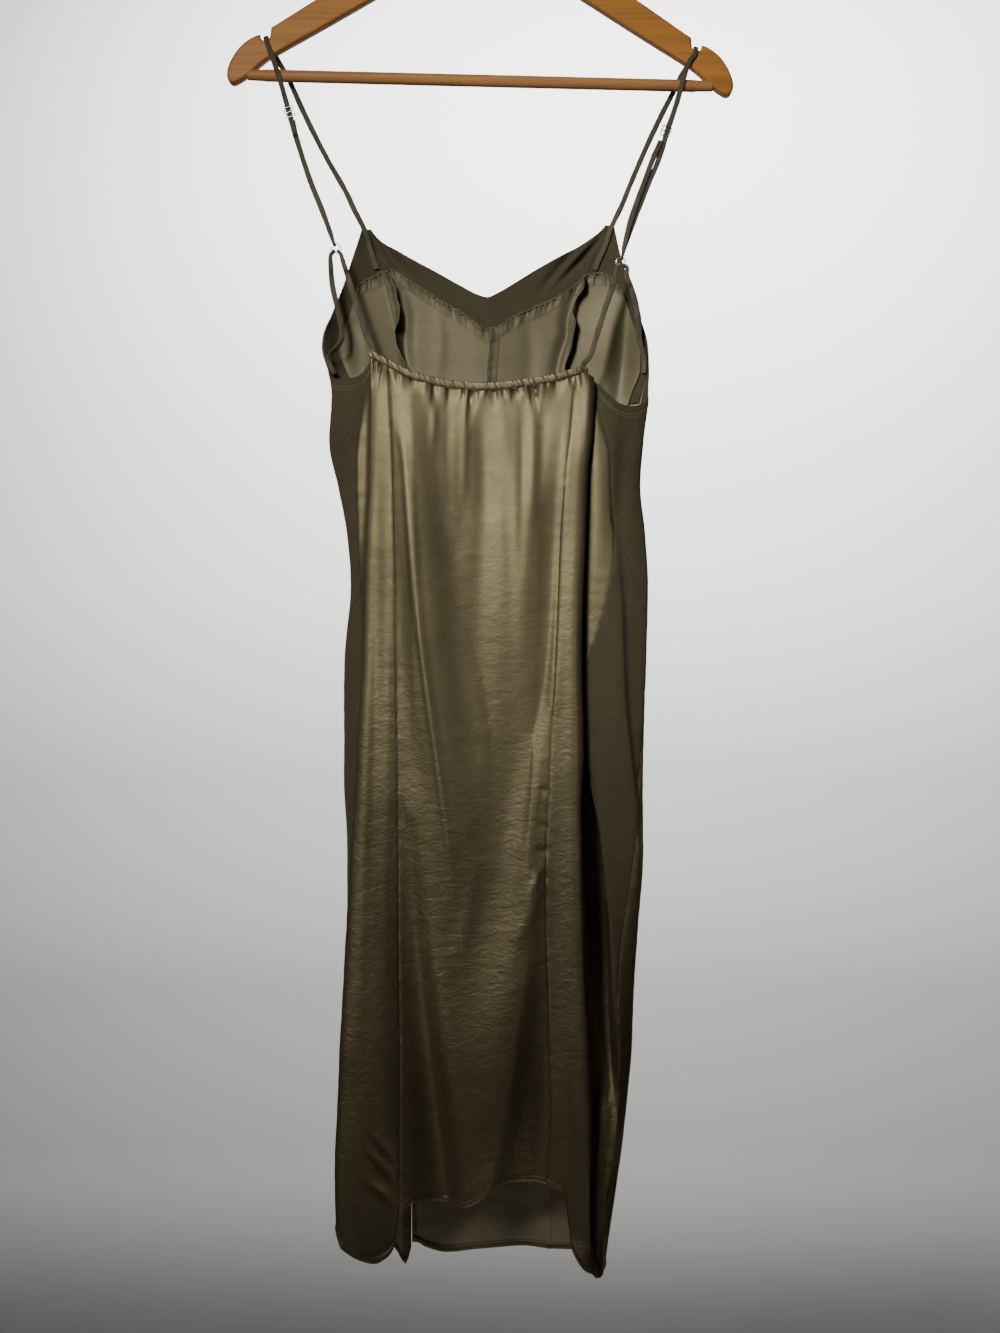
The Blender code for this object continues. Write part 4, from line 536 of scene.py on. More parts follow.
# ---------------------------------------------------------------- the tube
def stations_at(height):
    """x and y of every station at the given heights, each as an array of (station, height)."""
    def back(name):
        return column(BACK_WIDTHS, name, height)

    def front(name):
        return column(FRONT_WIDTHS, name, height)

    def depth(name):
        return column(DEPTHS, name, height)

    left, right = back("side_left"), back("side_right")
    fold_left, fold_right = back("fold_left"), back("fold_right")
    seam_left, seam_right = back("seam_left"), back("seam_right")
    groove_edge = back("groove_edge")
    span_back = seam_right - seam_left
    valley, fold, rear = depth("valley"), depth("fold"), depth("back")
    groove, strip = depth("groove"), depth("strip")
    side_left, side_right = depth("side_left"), depth("side_right")
    open_left = np.clip((fold_left - left) / 15.0, 0, 1)
    side_width = right - groove_edge
    lip = np.clip((groove - strip) / 12.0, 0, 1)
    places = {
        "side_left": (left, side_left),
        "middle_left": (left + 0.50 * (fold_left - left), side_left + 0.75 * (valley - side_left)),
        "valley": (fold_left + 2.0 - 4.5 * open_left, valley),
        "fold_wall": (fold_left + 1.5, valley + 0.45 * (fold - valley)),
        "fold_left": (fold_left, fold),
        "shoulder_left": (fold_left + 5.5, 0.3 * fold + 0.7 * rear - 0.5),
        "seam_left": (seam_left, rear),
        "back_1": (seam_left + 0.25 * span_back, rear + 1.0),
        "back_2": (seam_left + 0.50 * span_back, rear + 1.5),
        "back_3": (seam_left + 0.75 * span_back, rear + 1.0),
        "seam_right": (seam_right, rear),
        "shoulder_right": (fold_right - 4.5, 0.3 * fold + 0.7 * rear - 0.5),
        "fold_right": (fold_right, fold),
        "groove_in": (fold_right - 0.5, fold + GROOVE_WALL * (groove - fold)),
        "groove": (0.5 * (fold_right + groove_edge), groove),
        "groove_out": (groove_edge + 0.5 * lip - 0.25 * (groove_edge - fold_right) * (1 - lip),
                       strip + GROOVE_WALL * (groove - strip)),
        "strip": (groove_edge + 0.3 * lip, strip + 3.5 * lip),
        "strip_shoulder": (groove_edge + 0.3 + np.minimum(4.5, 0.2 * side_width),
                           strip - 0.5 * lip + 0.12 * (1 - lip) * (side_right - strip)),
        "middle_right": (groove_edge + 0.45 * side_width,
                         strip + (0.45 - 0.25 * lip) * (side_right - strip) - lip),
        "side_right": (right, side_right),
        "front_right": (front("edge_right"), depth("front_edge")),
        "front_seam_right": (front("seam_right"), depth("front")),
        "front_centre": (front("centre"), depth("front") - 1.0),
        "front_seam_left": (front("seam_left"), depth("front")),
        "front_left": (front("edge_left"), depth("front_edge")),
    }
    return [np.stack([np.broadcast_to(places[name][axis], np.shape(height)) for name in STATIONS])
            for axis in (0, 1)]


def through_stations(xs, ys, station):
    """Centripetal curve through the stations of each section, read at a station number."""
    first = np.floor(station).astype(int)
    part = station - first
    picked = [(first + offset) % LAST for offset in (-1, 0, 1, 2)]
    where = tuple(np.indices(station.shape))
    corners = [np.stack([xs[(index,) + where], ys[(index,) + where]], axis=-1) for index in picked]
    gaps = [np.maximum(np.linalg.norm(corners[i + 1] - corners[i], axis=-1), 1e-3) ** 0.5
            for i in range(3)]
    t0 = -gaps[0]
    t2 = gaps[1]
    t3 = gaps[1] + gaps[2]
    t = part * gaps[1]

    def mix(a, b, ta, tb):
        weight = ((t - ta) / (tb - ta))[..., None]
        return a * (1 - weight) + b * weight

    zero = np.zeros_like(t)
    a1 = mix(corners[0], corners[1], t0, zero)
    a2 = mix(corners[1], corners[2], zero, t2)
    a3 = mix(corners[2], corners[3], t2, t3)
    b1 = mix(a1, a2, t0, t2)
    b2 = mix(a2, a3, zero, t3)
    return mix(b1, b2, zero, t2)


def window(height, top, foot):
    """1 between top and foot, eased to 0 over a quarter of the length around each of them."""
    ease = 0.25 * (top - foot)
    return (smooth_step((top + 0.5 * ease - height) / ease)
            * smooth_step((height - foot + 0.5 * ease) / ease))


def fold_relief(folds, across, height):
    """Outward height of the folds of one panel, across it from 0 to 1."""
    total = np.zeros(np.shape(across))
    for top, foot, across_top, across_foot, width, depth in folds:
        along = np.clip((top - height) / (top - foot), 0, 1)
        middle = across_top + (across_foot - across_top) * along
        edge = np.clip(8 * np.minimum(across, 1 - across), 0, 1)
        total += depth * bell((across - middle) / width) * window(height, top, foot) * edge
    return total


def ruffle_relief(station, below):
    """Uneven waves, mostly from 0 to 2, along a loose edge, fading below it."""
    fade = np.clip(1 - below / RUFFLE_DEPTH, 0, 1)
    return fade * (1 + np.sin(RUFFLE_WAVES * station + 1.7 * np.sin(9 * station))
                   + 0.6 * np.sin(3.1 * RUFFLE_WAVES * station + 2.0 * np.sin(17 * station)))


def surface(station, height):
    """Outer surface point of the tube (mm) at the given stations and heights."""
    station = np.asarray(station, dtype=float)
    height = np.asarray(height, dtype=float)
    xs, ys = stations_at(height)
    flat = through_stations(xs, ys, station)
    turn = station % LAST
    on_back = (turn >= SEAM_L) & (turn <= SEAM_R)
    on_front = (turn >= FRONT_R) & (turn <= FRONT_L)
    out_back = fold_relief(BACK_FOLDS, (turn - SEAM_L) / (SEAM_R - SEAM_L), height)
    out_front = fold_relief(FRONT_FOLDS, (turn - FRONT_R) / (FRONT_L - FRONT_R), height)
    y = flat[..., 1] - np.where(on_back, out_back, 0.0) + np.where(on_front, out_front, 0.0)
    return np.stack([flat[..., 0], y, height], axis=-1)


def skin(station, height):
    """Point of the tube, a step along it and its unit outward normal."""
    along = surface(station + STATION_STEP, height) - surface(station - STATION_STEP, height)
    down = surface(station, height - HEIGHT_STEP) - surface(station, height + HEIGHT_STEP)
    return surface(station, height), along, unit(np.cross(down, along))


def front_station(x, z):
    """Station of the place across the front at x."""
    low, high = EDGE_R - 0.5, LAST - 0.5
    for _ in range(30):
        middle = 0.5 * (low + high)
        if surface(middle, z)[0] > x:
            low = middle
        else:
            high = middle
    return middle


def facing_way(side, across):
    """The side direction turned to agree with across."""
    return side if np.dot(side, across) > 0 else -side


def free_run(points, across):
    """Rows (x, y, z, width, side direction) of a strap hanging free."""
    return [(*point, *across) for point in points]


def inside_run(places, lift, across):
    """Rows of a strap that lies on the inside of the tube, at (station, height) places."""
    rows = []
    for station, height in places:
        point, along, normal = skin(station, height)
        side = facing_way(unit(along), across)
        rows.append((*(point + normal * lift), STRAP_WIDTH, *side))
    return rows


def ring_turn(ring, degrees, across):
    """Rows of a strap from the near side round the ring's wire to the far side."""
    angle = math.radians(degrees)
    out = np.array((math.cos(angle), 0.0, math.sin(angle)))
    side = facing_way(np.array((-math.sin(angle), 0.0, math.cos(angle))), across)
    wire_at = np.array(ring) + out * RING_RADIUS
    reach = RING_WIRE + LAYER_GAP + 0.5 * STRAP_WALL + 0.15
    rows = []
    for step in range(TURN_STEPS):
        bend = math.pi * step / (TURN_STEPS - 1)
        place = wire_at - out * reach * math.sin(bend) - np.array((0, reach * math.cos(bend), 0))
        rows.append((*place, LOOP_WIDTH, *side))
    near, far = ((*(wire_at + out * TURN_REACH + (0, away, 0)), LOOP_WIDTH + 0.5, *side)
                 for away in (-reach, reach))
    return [near, *rows, far]


def smooth_path(rows, samples):
    """Rows on a smooth curve through the given ones, samples to each stretch."""
    rows = np.array(rows, dtype=float)
    padded = np.vstack([2 * rows[0] - rows[1], rows, 2 * rows[-1] - rows[-2]])
    path = []
    for first in range(len(rows) - 1):
        p0, p1, p2, p3 = padded[first:first + 4]
        for step in range(samples):
            t = step / samples
            path.append(0.5 * (2 * p1 + (p2 - p0) * t + (2 * p0 - 5 * p1 + 4 * p2 - p3) * t ** 2
                               + (3 * p1 - p0 - 3 * p2 + p3) * t ** 3))
    path.append(rows[-1])
    return np.array(path)


# ---------------------------------------------------------------- soft detail of the cloth
def noise(points, scale, seed):
    """Smooth noise from -1 to 1 at points (mm), with features of about scale (x, y, z in mm)."""
    table = np.random.default_rng(seed).uniform(-1, 1, (NOISE_CELLS,) * 3)
    place = points / np.array(scale, dtype=float)
    first = np.floor(place).astype(int)
    part = smooth_step(place - first)
    total = 0.0
    for corner in np.ndindex(2, 2, 2):
        index = (first + corner) % NOISE_CELLS
        weight = np.prod(np.where(np.array(corner) == 1, part, 1 - part), axis=-1)
        total = total + weight * table[index[..., 0], index[..., 1], index[..., 2]]
    return total


def crumple(points):
    """Soft swellings, and crinkles longer across than down, stronger low on the dress."""
    warped = points + noise(points, (40, 40, 30), 3)[..., None] * np.array((5.0, 5.0, 6.0))
    low = smooth_step((-480 - points[..., 2]) / 260.0)
    large = noise(warped, (30, 30, 55), 11)
    middle = 0.5 - np.abs(noise(warped, (26, 26, 12), 12)) * 1.6
    small = noise(warped, (12, 12, 6), 13)
    return (0.5 + 0.4 * low) * large + (0.06 + 0.12 * low) * middle + (0.03 + 0.06 * low) * small


def crease_relief(creases, points):
    """Outward height of soft creases at points."""
    x, z = points[..., 0], points[..., 2]
    total = np.zeros(x.shape)
    for depth, wide_left, wide_right, places in creases:
        path = smooth_path(places, 5)
        reach = 3.5 * max(wide_left, wide_right)
        (low_x, low_z), (high_x, high_z) = path.min(axis=0) - reach, path.max(axis=0) + reach
        near = (x > low_x) & (x < high_x) & (z > low_z) & (z < high_z)
        if not near.any():
            continue
        flat = np.stack([x[near], z[near]], axis=-1)
        apart = np.full(len(flat), np.inf)
        along = np.zeros(len(flat))
        right = np.zeros(len(flat), dtype=bool)
        for index, (start, step) in enumerate(zip(path[:-1], np.diff(path, axis=0))):
            offset = flat - start
            part = np.clip(offset @ step / (step @ step), 0, 1)
            gap = np.sum((offset - part[:, None] * step) ** 2, axis=-1)
            closer = gap < apart
            apart = np.where(closer, gap, apart)
            along = np.where(closer, index + part, along)
            right = np.where(closer, step[0] * offset[:, 1] - step[1] * offset[:, 0] > 0, right)
        wide = np.where(right, wide_right, wide_left)
        taper = np.sin(math.pi * (0.04 + 0.92 * along / (len(path) - 1))) ** 0.9
        total[near] += depth * taper * bell(np.sqrt(apart) / wide)
    return total


def seam_relief(turn, height, reach, points):
    """A fine groove along every seam, with uneven puckers across it."""
    total = np.zeros(turn.shape)
    for number, (seam, top, foot) in enumerate(SEAM_LINES):
        across = (turn - end_station(seam, height) + LAST / 2) % LAST - LAST / 2
        gap = np.abs(across) * reach
        there = (height < top) & (height > foot)
        strength = 0.5 + 0.5 * smooth_step((-800 - height) / 250.0)
        lone = np.stack([0 * gap + 31.7 * number, 0.25 * across * reach, height], axis=-1)
        tuck = noise(lone, (9, 9, 5.5), 40 + number) - 0.2
        total += there * (-0.7 * bell(gap / 0.8) + 0.6 * strength * tuck * np.exp(-gap / 5.0))
    return total


def gather_relief(points, turn, height):
    """Tucks that run down from the elastic, uneven in depth, spacing and length."""
    below = edge_height(BACK_TOP, turn) - CASING_HEIGHT - height
    line = on_line(points[..., 0] - 0.10 * below * np.sign(points[..., 0]))
    there = (turn > FOLD_L - 0.3) & (turn < FOLD_R + 0.3)
    total = 0.0
    for length, cell, depth, seed in GATHERS:
        reach = length * (0.7 + 0.5 * noise(line, (1.6 * cell, 9, 9), seed + 1))
        fade = np.clip(1 - below / reach, 0, 1)
        wave = noise(line, (cell, 9, 9), seed)
        tuck = bell(wave / 0.2) * (0.8 + 0.6 * noise(line, (1.3 * cell, 9, 9), seed + 2))
        total = total + depth * (fade ** 1.4 * wave - fade ** 2.0 * tuck)
    return there * total


def fine_relief(station, height, points, along):
    """All soft detail at points of the tube, in mm outward."""
    turn = station % LAST
    reach = np.linalg.norm(along, axis=-1) / (2 * STATION_STEP)
    back = smooth_step(turn - 0.6) * smooth_step(SIDE_R + 0.6 - turn)
    front = smooth_step(turn - EDGE_R + 0.5) * smooth_step(LAST - 0.3 - turn)
    calm = 0.35 + 0.65 * smooth_step((-440 - height) / 60.0)
    return (back * crease_relief(BACK_CREASES, points)
            + front * crease_relief(FRONT_CREASES, points)
            + seam_relief(turn, height, reach, points) + gather_relief(points, turn, height)
            + calm * crumple(points))


def on_cloth(station, height, lift=0.0):
    """Points of the draped cloth, lift (mm) out from the solids' outer surface, and normals."""
    station, height = np.broadcast_arrays(np.asarray(station, float), np.asarray(height, float))
    base, along, normal = skin(station, height)
    rise = lift + fine_relief(station, height, base, along)
    return base + normal * np.expand_dims(rise, -1), normal


# ---------------------------------------------------------------- meshes
def add_object(name, verts, faces, material):
    """Object from points in millimetres, drawn to the hook's line and shaded smooth."""
    mesh = bpy.data.meshes.new(name)
    placed = (np.asarray(verts, dtype=float) - (HOOK_X, 0, 0)) * MM
    mesh.from_pydata(placed.tolist(), [], [tuple(face) for face in faces])
    return add_mesh(name, mesh, material)


def face_outward(mesh):
    """Turn a closed mesh whose faces look inward."""
    solid = bmesh.new()
    solid.from_mesh(mesh)
    inward = solid.calc_volume(signed=True) < 0
    solid.free()
    if inward:
        mesh.flip_normals()


def add_mesh(name, mesh, material, sharp=60.0):
    """Object in the scene's frame from a mesh in metres."""
    face_outward(mesh)
    mesh.materials.clear()
    mesh.materials.append(MATERIALS[material])
    mesh.shade_smooth()
    mesh.set_sharp_from_angle(angle=math.radians(sharp))
    piece = bpy.data.objects.new(name, mesh)
    bpy.context.scene.collection.objects.link(piece)
    return piece


def dress_up(piece, slot, *nodes):
    """Ride on the body and stand for the solids named; slot is not used."""
    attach(piece, "root")
    for node in nodes:
        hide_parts(node)


def shell_faces(rows, columns):
    """Quads of a closed shell: outer skin, inner skin and the rim between them."""
    grid = np.arange(rows * columns).reshape(rows, columns)
    outer = np.stack([grid[:-1, :-1], grid[1:, :-1], grid[1:, 1:], grid[:-1, 1:]], axis=-1)
    outer = outer.reshape(-1, 4)
    ring = np.concatenate([grid[0, :-1], grid[:-1, -1], grid[-1, :0:-1], grid[:0:-1, 0]])
    after = np.roll(ring, -1)
    rim = np.stack([ring, after, after + grid.size, ring + grid.size], axis=-1)
    return np.concatenate([outer, outer[:, ::-1] + grid.size, rim])


def tube_faces(rows, around):
    """Quads of a closed tube of rings, and its two end caps."""
    grid = np.arange(rows * around).reshape(rows, around)
    beside = np.roll(grid, -1, axis=1)
    quads = np.stack([grid[:-1], beside[:-1], beside[1:], grid[1:]], axis=-1)
    return quads.reshape(-1, 4).tolist() + [grid[0][::-1].tolist(), grid[-1].tolist()]


def end_station(value, height):
    """Station of a panel's side edge, given as a station or as the name of a seam."""
    return wandering(value, height) if isinstance(value, str) else np.full(np.shape(height), value)


def edge_at(edge, stations):
    """Height of a panel's top or foot edge, given as a table or as a level."""
    if isinstance(edge, tuple):
        return edge_height(edge, stations)
    return np.full(stations.shape, edge)


def even_stations(left, right, heights, columns):
    """Stations (row, column) that part each row from left to right into even lengths."""
    dense = np.linspace(0, 1, 90)
    first, last = end_station(left, heights), end_station(right, heights)
    stations = first[:, None] + (last - first)[:, None] * dense
    points = surface(stations, np.broadcast_to(heights[:, None], stations.shape))
    steps = np.linalg.norm(np.diff(points, axis=1), axis=-1) + 1e-4
    length = np.concatenate([np.zeros((len(heights), 1)), np.cumsum(steps, axis=1)], axis=1)
    even = np.linspace(0, 1, columns)
    parts = np.stack([np.interp(even * row[-1], row, dense) for row in length])
    return parts, length[:, -1]


def panel(name, material, left, right, top, foot, cell, lift=0.0, ruffle=0.0):
    """Thin closed shell of cloth between two seams, a top edge and a foot edge.

    left and right are stations or names of seams; top and foot are tables or levels, and a foot
    edge that is a table is hemmed.  ruffle is how far the waves of a loose top edge stand inward.
    """
    hem = isinstance(foot, tuple)
    high = np.max([row[1] for row in top]) if isinstance(top, tuple) else top
    low = np.min([row[1] for row in foot]) if hem else foot
    guess = np.linspace(high, low, 60)
    _, lengths = even_stations(left, right, guess, 2)
    columns = max(4, int(np.max(lengths) / cell[0]) + 1)
    rows = int((high - low) / cell[1]) + 1
    down = np.linspace(0, 1, rows)
    if hem:
        step = HEM_DEPTH / (high - low)
        down = np.concatenate([down[down < 1 - 1.6 * step], 1 - step * np.array(HEM_ROWS)])
    parts, _ = even_stations(left, right, high + (low - high) * down, columns)
    heights = np.broadcast_to((high + (low - high) * down)[:, None], parts.shape)
    for _ in range(EDGE_PASSES):
        first, last = end_station(left, heights), end_station(right, heights)
        stations = first + (last - first) * parts
        start, end = edge_at(top, stations), edge_at(foot, stations)
        heights = start + (end - start) * down[:, None]
    rise = np.full(stations.shape, lift)
    wall = np.full(stations.shape, CLOTH)
    if hem:
        above = heights - end
        roll = np.clip(above / HEM_DEPTH, 0, 1)
        turned = (above < HEM_DEPTH) * (0.45 + 0.55 * np.sin(math.pi * roll))
        rise, wall = rise + turned, wall + 1.6 * turned
    if ruffle:
        rise = rise - ruffle * ruffle_relief(stations, start - heights)
    points, normal = on_cloth(stations, heights, rise)
    verts = np.concatenate([points.reshape(-1, 3),
                            (points - normal * wall[..., None]).reshape(-1, 3)])
    piece = add_object(name, verts, shell_faces(*stations.shape), material)
    if material == "satin":
        show_reverse(piece, heights[1:, 1:], left, right)
    return piece


def show_reverse(piece, heights, left, right):
    """Dull inside of a satin panel, but for the turned hem and the folded edges of the slit."""
    piece.data.materials.append(MATERIALS["reverse"])
    dull = np.ones_like(heights, dtype=np.int32)
    dull[-HEM_FACE_ROWS:] = 0
    at_slit = heights < SLIT_TOP
    if left == "slit_side":
        dull[:, :SLIT_FOLD][at_slit[:, :SLIT_FOLD]] = 0
    if right == "slit_center":
        dull[:, -SLIT_FOLD:][at_slit[:, -SLIT_FOLD:]] = 0
    index = np.zeros(len(piece.data.polygons), dtype=np.int32)
    index[dull.size:2 * dull.size] = dull.ravel()
    piece.data.polygons.foreach_set("material_index", index)


def sew(name, runs, radii, thread="dark_thread", sides=5, slot="lining"):
    """Round threads along runs of points (mm), as one piece; the radii repeat over the runs."""
    angle = turns(sides)[:, None]
    verts, faces = [], []
    for number, path in enumerate(runs):
        tangent = unit(np.gradient(path, axis=0))
        side = unit(np.cross(tangent, (0.13, 1.0, 0.07)))
        up = np.cross(side, tangent)
        round_it = side[:, None] * np.cos(angle) + up[:, None] * np.sin(angle)
        faces += [[len(verts) + corner for corner in face]
                  for face in tube_faces(len(path), sides)]
        verts.extend((path[:, None] + radii[number % len(radii)] * round_it).reshape(-1, 3))
    dress_up(add_object(name, verts, faces, thread), slot)


def stitches(path, pitch, share, seed):
    """Short runs along a path of points, one for each stitch."""
    length = run_along(path)
    uneven = np.random.default_rng(seed)
    runs = []
    for number in range(int(length[-1] / pitch)):
        start = (number + 0.1 * uneven.uniform(-1, 1)) * pitch
        at = start + pitch * share * np.linspace(0, 1, 4)
        runs.append(np.stack([np.interp(at, length, path[:, axis]) for axis in range(3)], axis=1))
    return runs


def line_on(first, last, edge, below, lift, samples):
    """Points along an edge, a distance below it and lifted off the cloth."""
    stations = np.linspace(first, last, samples)
    heights = edge_at(edge, stations) - below
    return on_cloth(stations, heights, lift)[0]


# ---------------------------------------------------------------- camera, lights and stage
# The camera looks along +Y from where the photograph was taken.
CAMERA_PLACE = (0.0125, -1.65, -0.7193)
CAMERA_LENS, CAMERA_SENSOR = 50.58, 36.0
WARM, COOL, WHITE = (1.0, 0.985, 0.95), (0.99, 0.99, 1.0), (1.0, 1.0, 1.0)
# Soft boxes: place, target and size in metres, power in watts, colour, spread in degrees.
LIGHTS = {
    "key": ((-0.42, -1.0, 0.20), (0.04, 0.0, -0.46), (0.40, 0.35), 1.18, WARM, 85),
    "fill": ((-0.46, -1.25, 0.05), (0.12, 0.0, -0.54), (0.25, 0.4), 1.5, COOL, 42),
    "side": ((-0.80, -0.95, -0.40), (-0.14, 0.0, -0.95), (0.3, 0.5), 0.16, WARM, 22),
    "right": ((0.95, -1.10, -0.45), (0.155, 0.0, -0.76), (0.2, 0.3), 0.075, (1.0, 0.99, 0.96), 16),
    "under": ((0.0, -0.16, -1.80), (0.0, 0.02, -1.22), (0.3, 0.1), 0.11, WHITE, 60),
    "behind": ((0.6, 1.9, 0.7), (0.0, 0.0, -0.6), (1.4, 1.0), 8, WHITE, 70),
    "wall_wash": ((0.36, 1.9, 1.9), (0.30, 3.7, 0.18), (2.8, 0.8), 154, (1.0, 0.998, 0.985), 95),
}
WORLD_COLOUR, WORLD_STRENGTH = (0.80, 0.80, 0.80, 1.0), 0.01


def make_camera():
    """The photograph's camera: level, in front of the middle of the dress."""
    camera = bpy.data.objects.new("camera", bpy.data.cameras.new("camera"))
    camera.data.lens = CAMERA_LENS
    camera.data.sensor_width = CAMERA_SENSOR
    camera.location = CAMERA_PLACE
    camera.rotation_euler = (math.radians(90), 0, 0)
    bpy.context.scene.collection.objects.link(camera)
    bpy.context.scene.camera = camera


def make_lights():
    """Soft boxes, and a world that is almost dark."""
    for name, (place, target, size, power, colour, spread) in LIGHTS.items():
        light = bpy.data.lights.new(name, "AREA")
        light.shape = "RECTANGLE"
        light.size, light.size_y = size
        light.energy = power
        light.color = colour
        light.spread = math.radians(spread)
        item = bpy.data.objects.new(name, light)
        item.visible_camera = False
        item.location = place
        item.rotation_euler = (Vector(target) - item.location).to_track_quat("-Z", "Y").to_euler()
        bpy.context.scene.collection.objects.link(item)
    world = bpy.data.worlds.new("studio")
    bpy.context.scene.world = world
    world.use_nodes = True
    backdrop = world.node_tree.nodes["Background"]
    backdrop.inputs["Color"].default_value = WORLD_COLOUR
    backdrop.inputs["Strength"].default_value = WORLD_STRENGTH


# The stage in metres: floor level, its near end, the wall's place and top, the bend between them
# and half the width.
FLOOR, NEAR_END, WALL, WALL_TOP, BEND, HALF_WIDTH = -1.95, -6.0, 3.7, 3.4, 0.9, 5.0


def make_stage():
    """Pale floor that curves up into a pale wall, far enough behind for a camera between."""
    profile = [(NEAR_END, FLOOR), (WALL - BEND, FLOOR)]
    profile += [(WALL - BEND + BEND * math.sin(a), FLOOR + BEND - BEND * math.cos(a))
                for a in np.linspace(0, math.pi / 2, 16)[1:]]
    profile.append((WALL, WALL_TOP))
    verts = [(x, y, z) for y, z in profile for x in (-HALF_WIDTH, HALF_WIDTH)]
    faces = [(2 * i, 2 * i + 1, 2 * i + 3, 2 * i + 2) for i in range(len(profile) - 1)]
    mesh = bpy.data.meshes.new("floor_and_wall")
    mesh.from_pydata(verts, [], faces)
    add_mesh("floor_and_wall", mesh, "stage")


# ---------------------------------------------------------------- materials
SATIN_COLOUR = (0.142, 0.119, 0.065)
SATIN_TINT = (0.95, 0.84, 0.60, 1.0)
LINING_COLOUR = (0.102, 0.087, 0.048)
REVERSE_COLOUR = (0.222, 0.190, 0.114)
ALLOWANCE_COLOUR = (0.108, 0.093, 0.050)
STRETCH_COLOUR = (0.047, 0.038, 0.0185)
STRETCH_TINT = (0.9, 0.82, 0.66, 1.0)
STRAP_COLOUR = (0.070, 0.057, 0.031)
THREAD_COLOUR = (0.114, 0.096, 0.052)
WOOD_COLOUR = (0.450, 0.190, 0.040)
BAR_COLOUR = (0.420, 0.200, 0.070)
# Tones of the stage, a painted shade that is darker low down, from STAGE_LOW to STAGE_HIGH
# (metres): share of the way up, colour.
STAGE_LOW, STAGE_HIGH = -2.4, -0.1
STAGE_PAINTED_SHADE = (
    (0.150, (0.31, 0.305, 0.302)), (0.21, (0.245, 0.241, 0.240)), (0.35, (0.300, 0.296, 0.293)),
    (0.445, (0.43, 0.426, 0.422)), (0.565, (0.60, 0.596, 0.590)), (0.69, (0.72, 0.715, 0.707)),
    (0.83, (0.79, 0.787, 0.780)), (1.0, (0.76, 0.757, 0.752)),
)


class Shader:
    """One Principled material, with short calls for the nodes that feed it."""

    def __init__(self, name, colour, **values):
        self.material = bpy.data.materials.new(name)
        self.material.use_nodes = True
        self.tree = self.material.node_tree
        self.shader = self.tree.nodes["Principled BSDF"]
        self.shader.inputs["Base Color"].default_value = (*colour, 1.0)
        self.material.diffuse_color = (*colour, 1.0)
        for socket, value in values.items():
            self.shader.inputs[socket.replace("_", " ")].default_value = value
        self.place = self.tree.nodes.new("ShaderNodeTexCoord").outputs["Object"]
        self.normal = None

    def node(self, kind, **values):
        """A new node; each value goes to the socket or the setting of its name."""
        item = self.tree.nodes.new(kind)
        for key, value in values.items():
            socket = key.replace("_", " ")
            if socket in item.inputs.keys():
                item.inputs[socket].default_value = value
            else:
                setattr(item, key, value)
        return item

    def link(self, source, target):
        self.tree.links.new(source, target)

    def scaled(self, scale, turn):
        mapping = self.node("ShaderNodeMapping", Scale=scale, Rotation=turn)
        self.link(self.place, mapping.inputs["Vector"])
        return mapping.outputs["Vector"]

    def axes(self):
        """X, Y and Z of the place on the object, in metres."""
        parts = self.node("ShaderNodeSeparateXYZ")
        self.link(self.place, parts.inputs["Vector"])
        return [parts.outputs[axis] for axis in "XYZ"]

    def spread(self, source, **limits):
        """The source between new limits, named as on a Map Range node."""
        item = self.node("ShaderNodeMapRange", **limits)
        self.link(source, item.inputs["Value"])
        return item.outputs["Result"]

    def noise(self, scale, detail=3.0, rough=0.55, turn=(0.0, 0.0, 0.0), distortion=0.0):
        """Noise with the given cells a metre on each axis."""
        item = self.node("ShaderNodeTexNoise", Scale=1.0, Detail=detail, Roughness=rough,
                         Distortion=distortion)
        self.link(self.scaled(scale, turn), item.inputs["Vector"])
        return item.outputs["Fac"]

    def waves(self, scale, turn, distortion):
        """Stripes with the given cells a metre."""
        item = self.node("ShaderNodeTexWave", Scale=1.0, Distortion=distortion)
        self.link(self.scaled(scale, turn), item.inputs["Vector"])
        return item.outputs["Fac"]

    def tones(self, source, *stops):
        """Base colour from (place, colour) stops."""
        ramp = self.node("ShaderNodeValToRGB")
        elements = ramp.color_ramp.elements
        while len(elements) < len(stops):
            elements.new(0.5)
        for element, (place, colour) in zip(elements, stops):
            element.position = place
            element.color = (*colour, 1.0)
        self.link(source, ramp.inputs["Fac"])
        return ramp.outputs["Color"]

    def shades(self, source, colour, dark, light, low=0.3, high=0.7):
        """Base colour from dark times the colour to light times the colour."""
        return self.tones(source, (low, tone(colour, dark)), (high, tone(colour, light)))

    def mixed(self, share, one, other):
        mix = self.node("ShaderNodeMix", data_type="RGBA")
        mix.inputs[0].default_value = share
        self.link(one, mix.inputs[6])
        self.link(other, mix.inputs[7])
        return mix.outputs[2]

    def below(self, start, end, least):
        """From least above the height start to 1 below the height end (metres)."""
        return self.spread(self.axes()[2], interpolation_type="SMOOTHSTEP", From_Min=start,
                           From_Max=end, To_Min=least, To_Max=1.0)

    def times(self, one, other):
        product = self.node("ShaderNodeMath", operation="MULTIPLY")
        self.link(one, product.inputs[0])
        self.link(other, product.inputs[1])
        return product.outputs["Value"]

    def colour(self, source):
        self.link(source, self.shader.inputs["Base Color"])

    def roughness(self, source, low, high):
        self.link(self.spread(source, To_Min=low, To_Max=high), self.shader.inputs["Roughness"])

    def bump(self, source, millimetres):
        bump = self.node("ShaderNodeBump", Strength=1.0, Distance=millimetres * MM)
        self.link(source, bump.inputs["Height"])
        if self.normal is not None:
            self.link(self.normal, bump.inputs["Normal"])
        self.normal = bump.outputs["Normal"]
        self.link(self.normal, self.shader.inputs["Normal"])


def tone(colour, times):
    """The colour lighter or darker by a factor."""
    return tuple(times * part for part in colour)


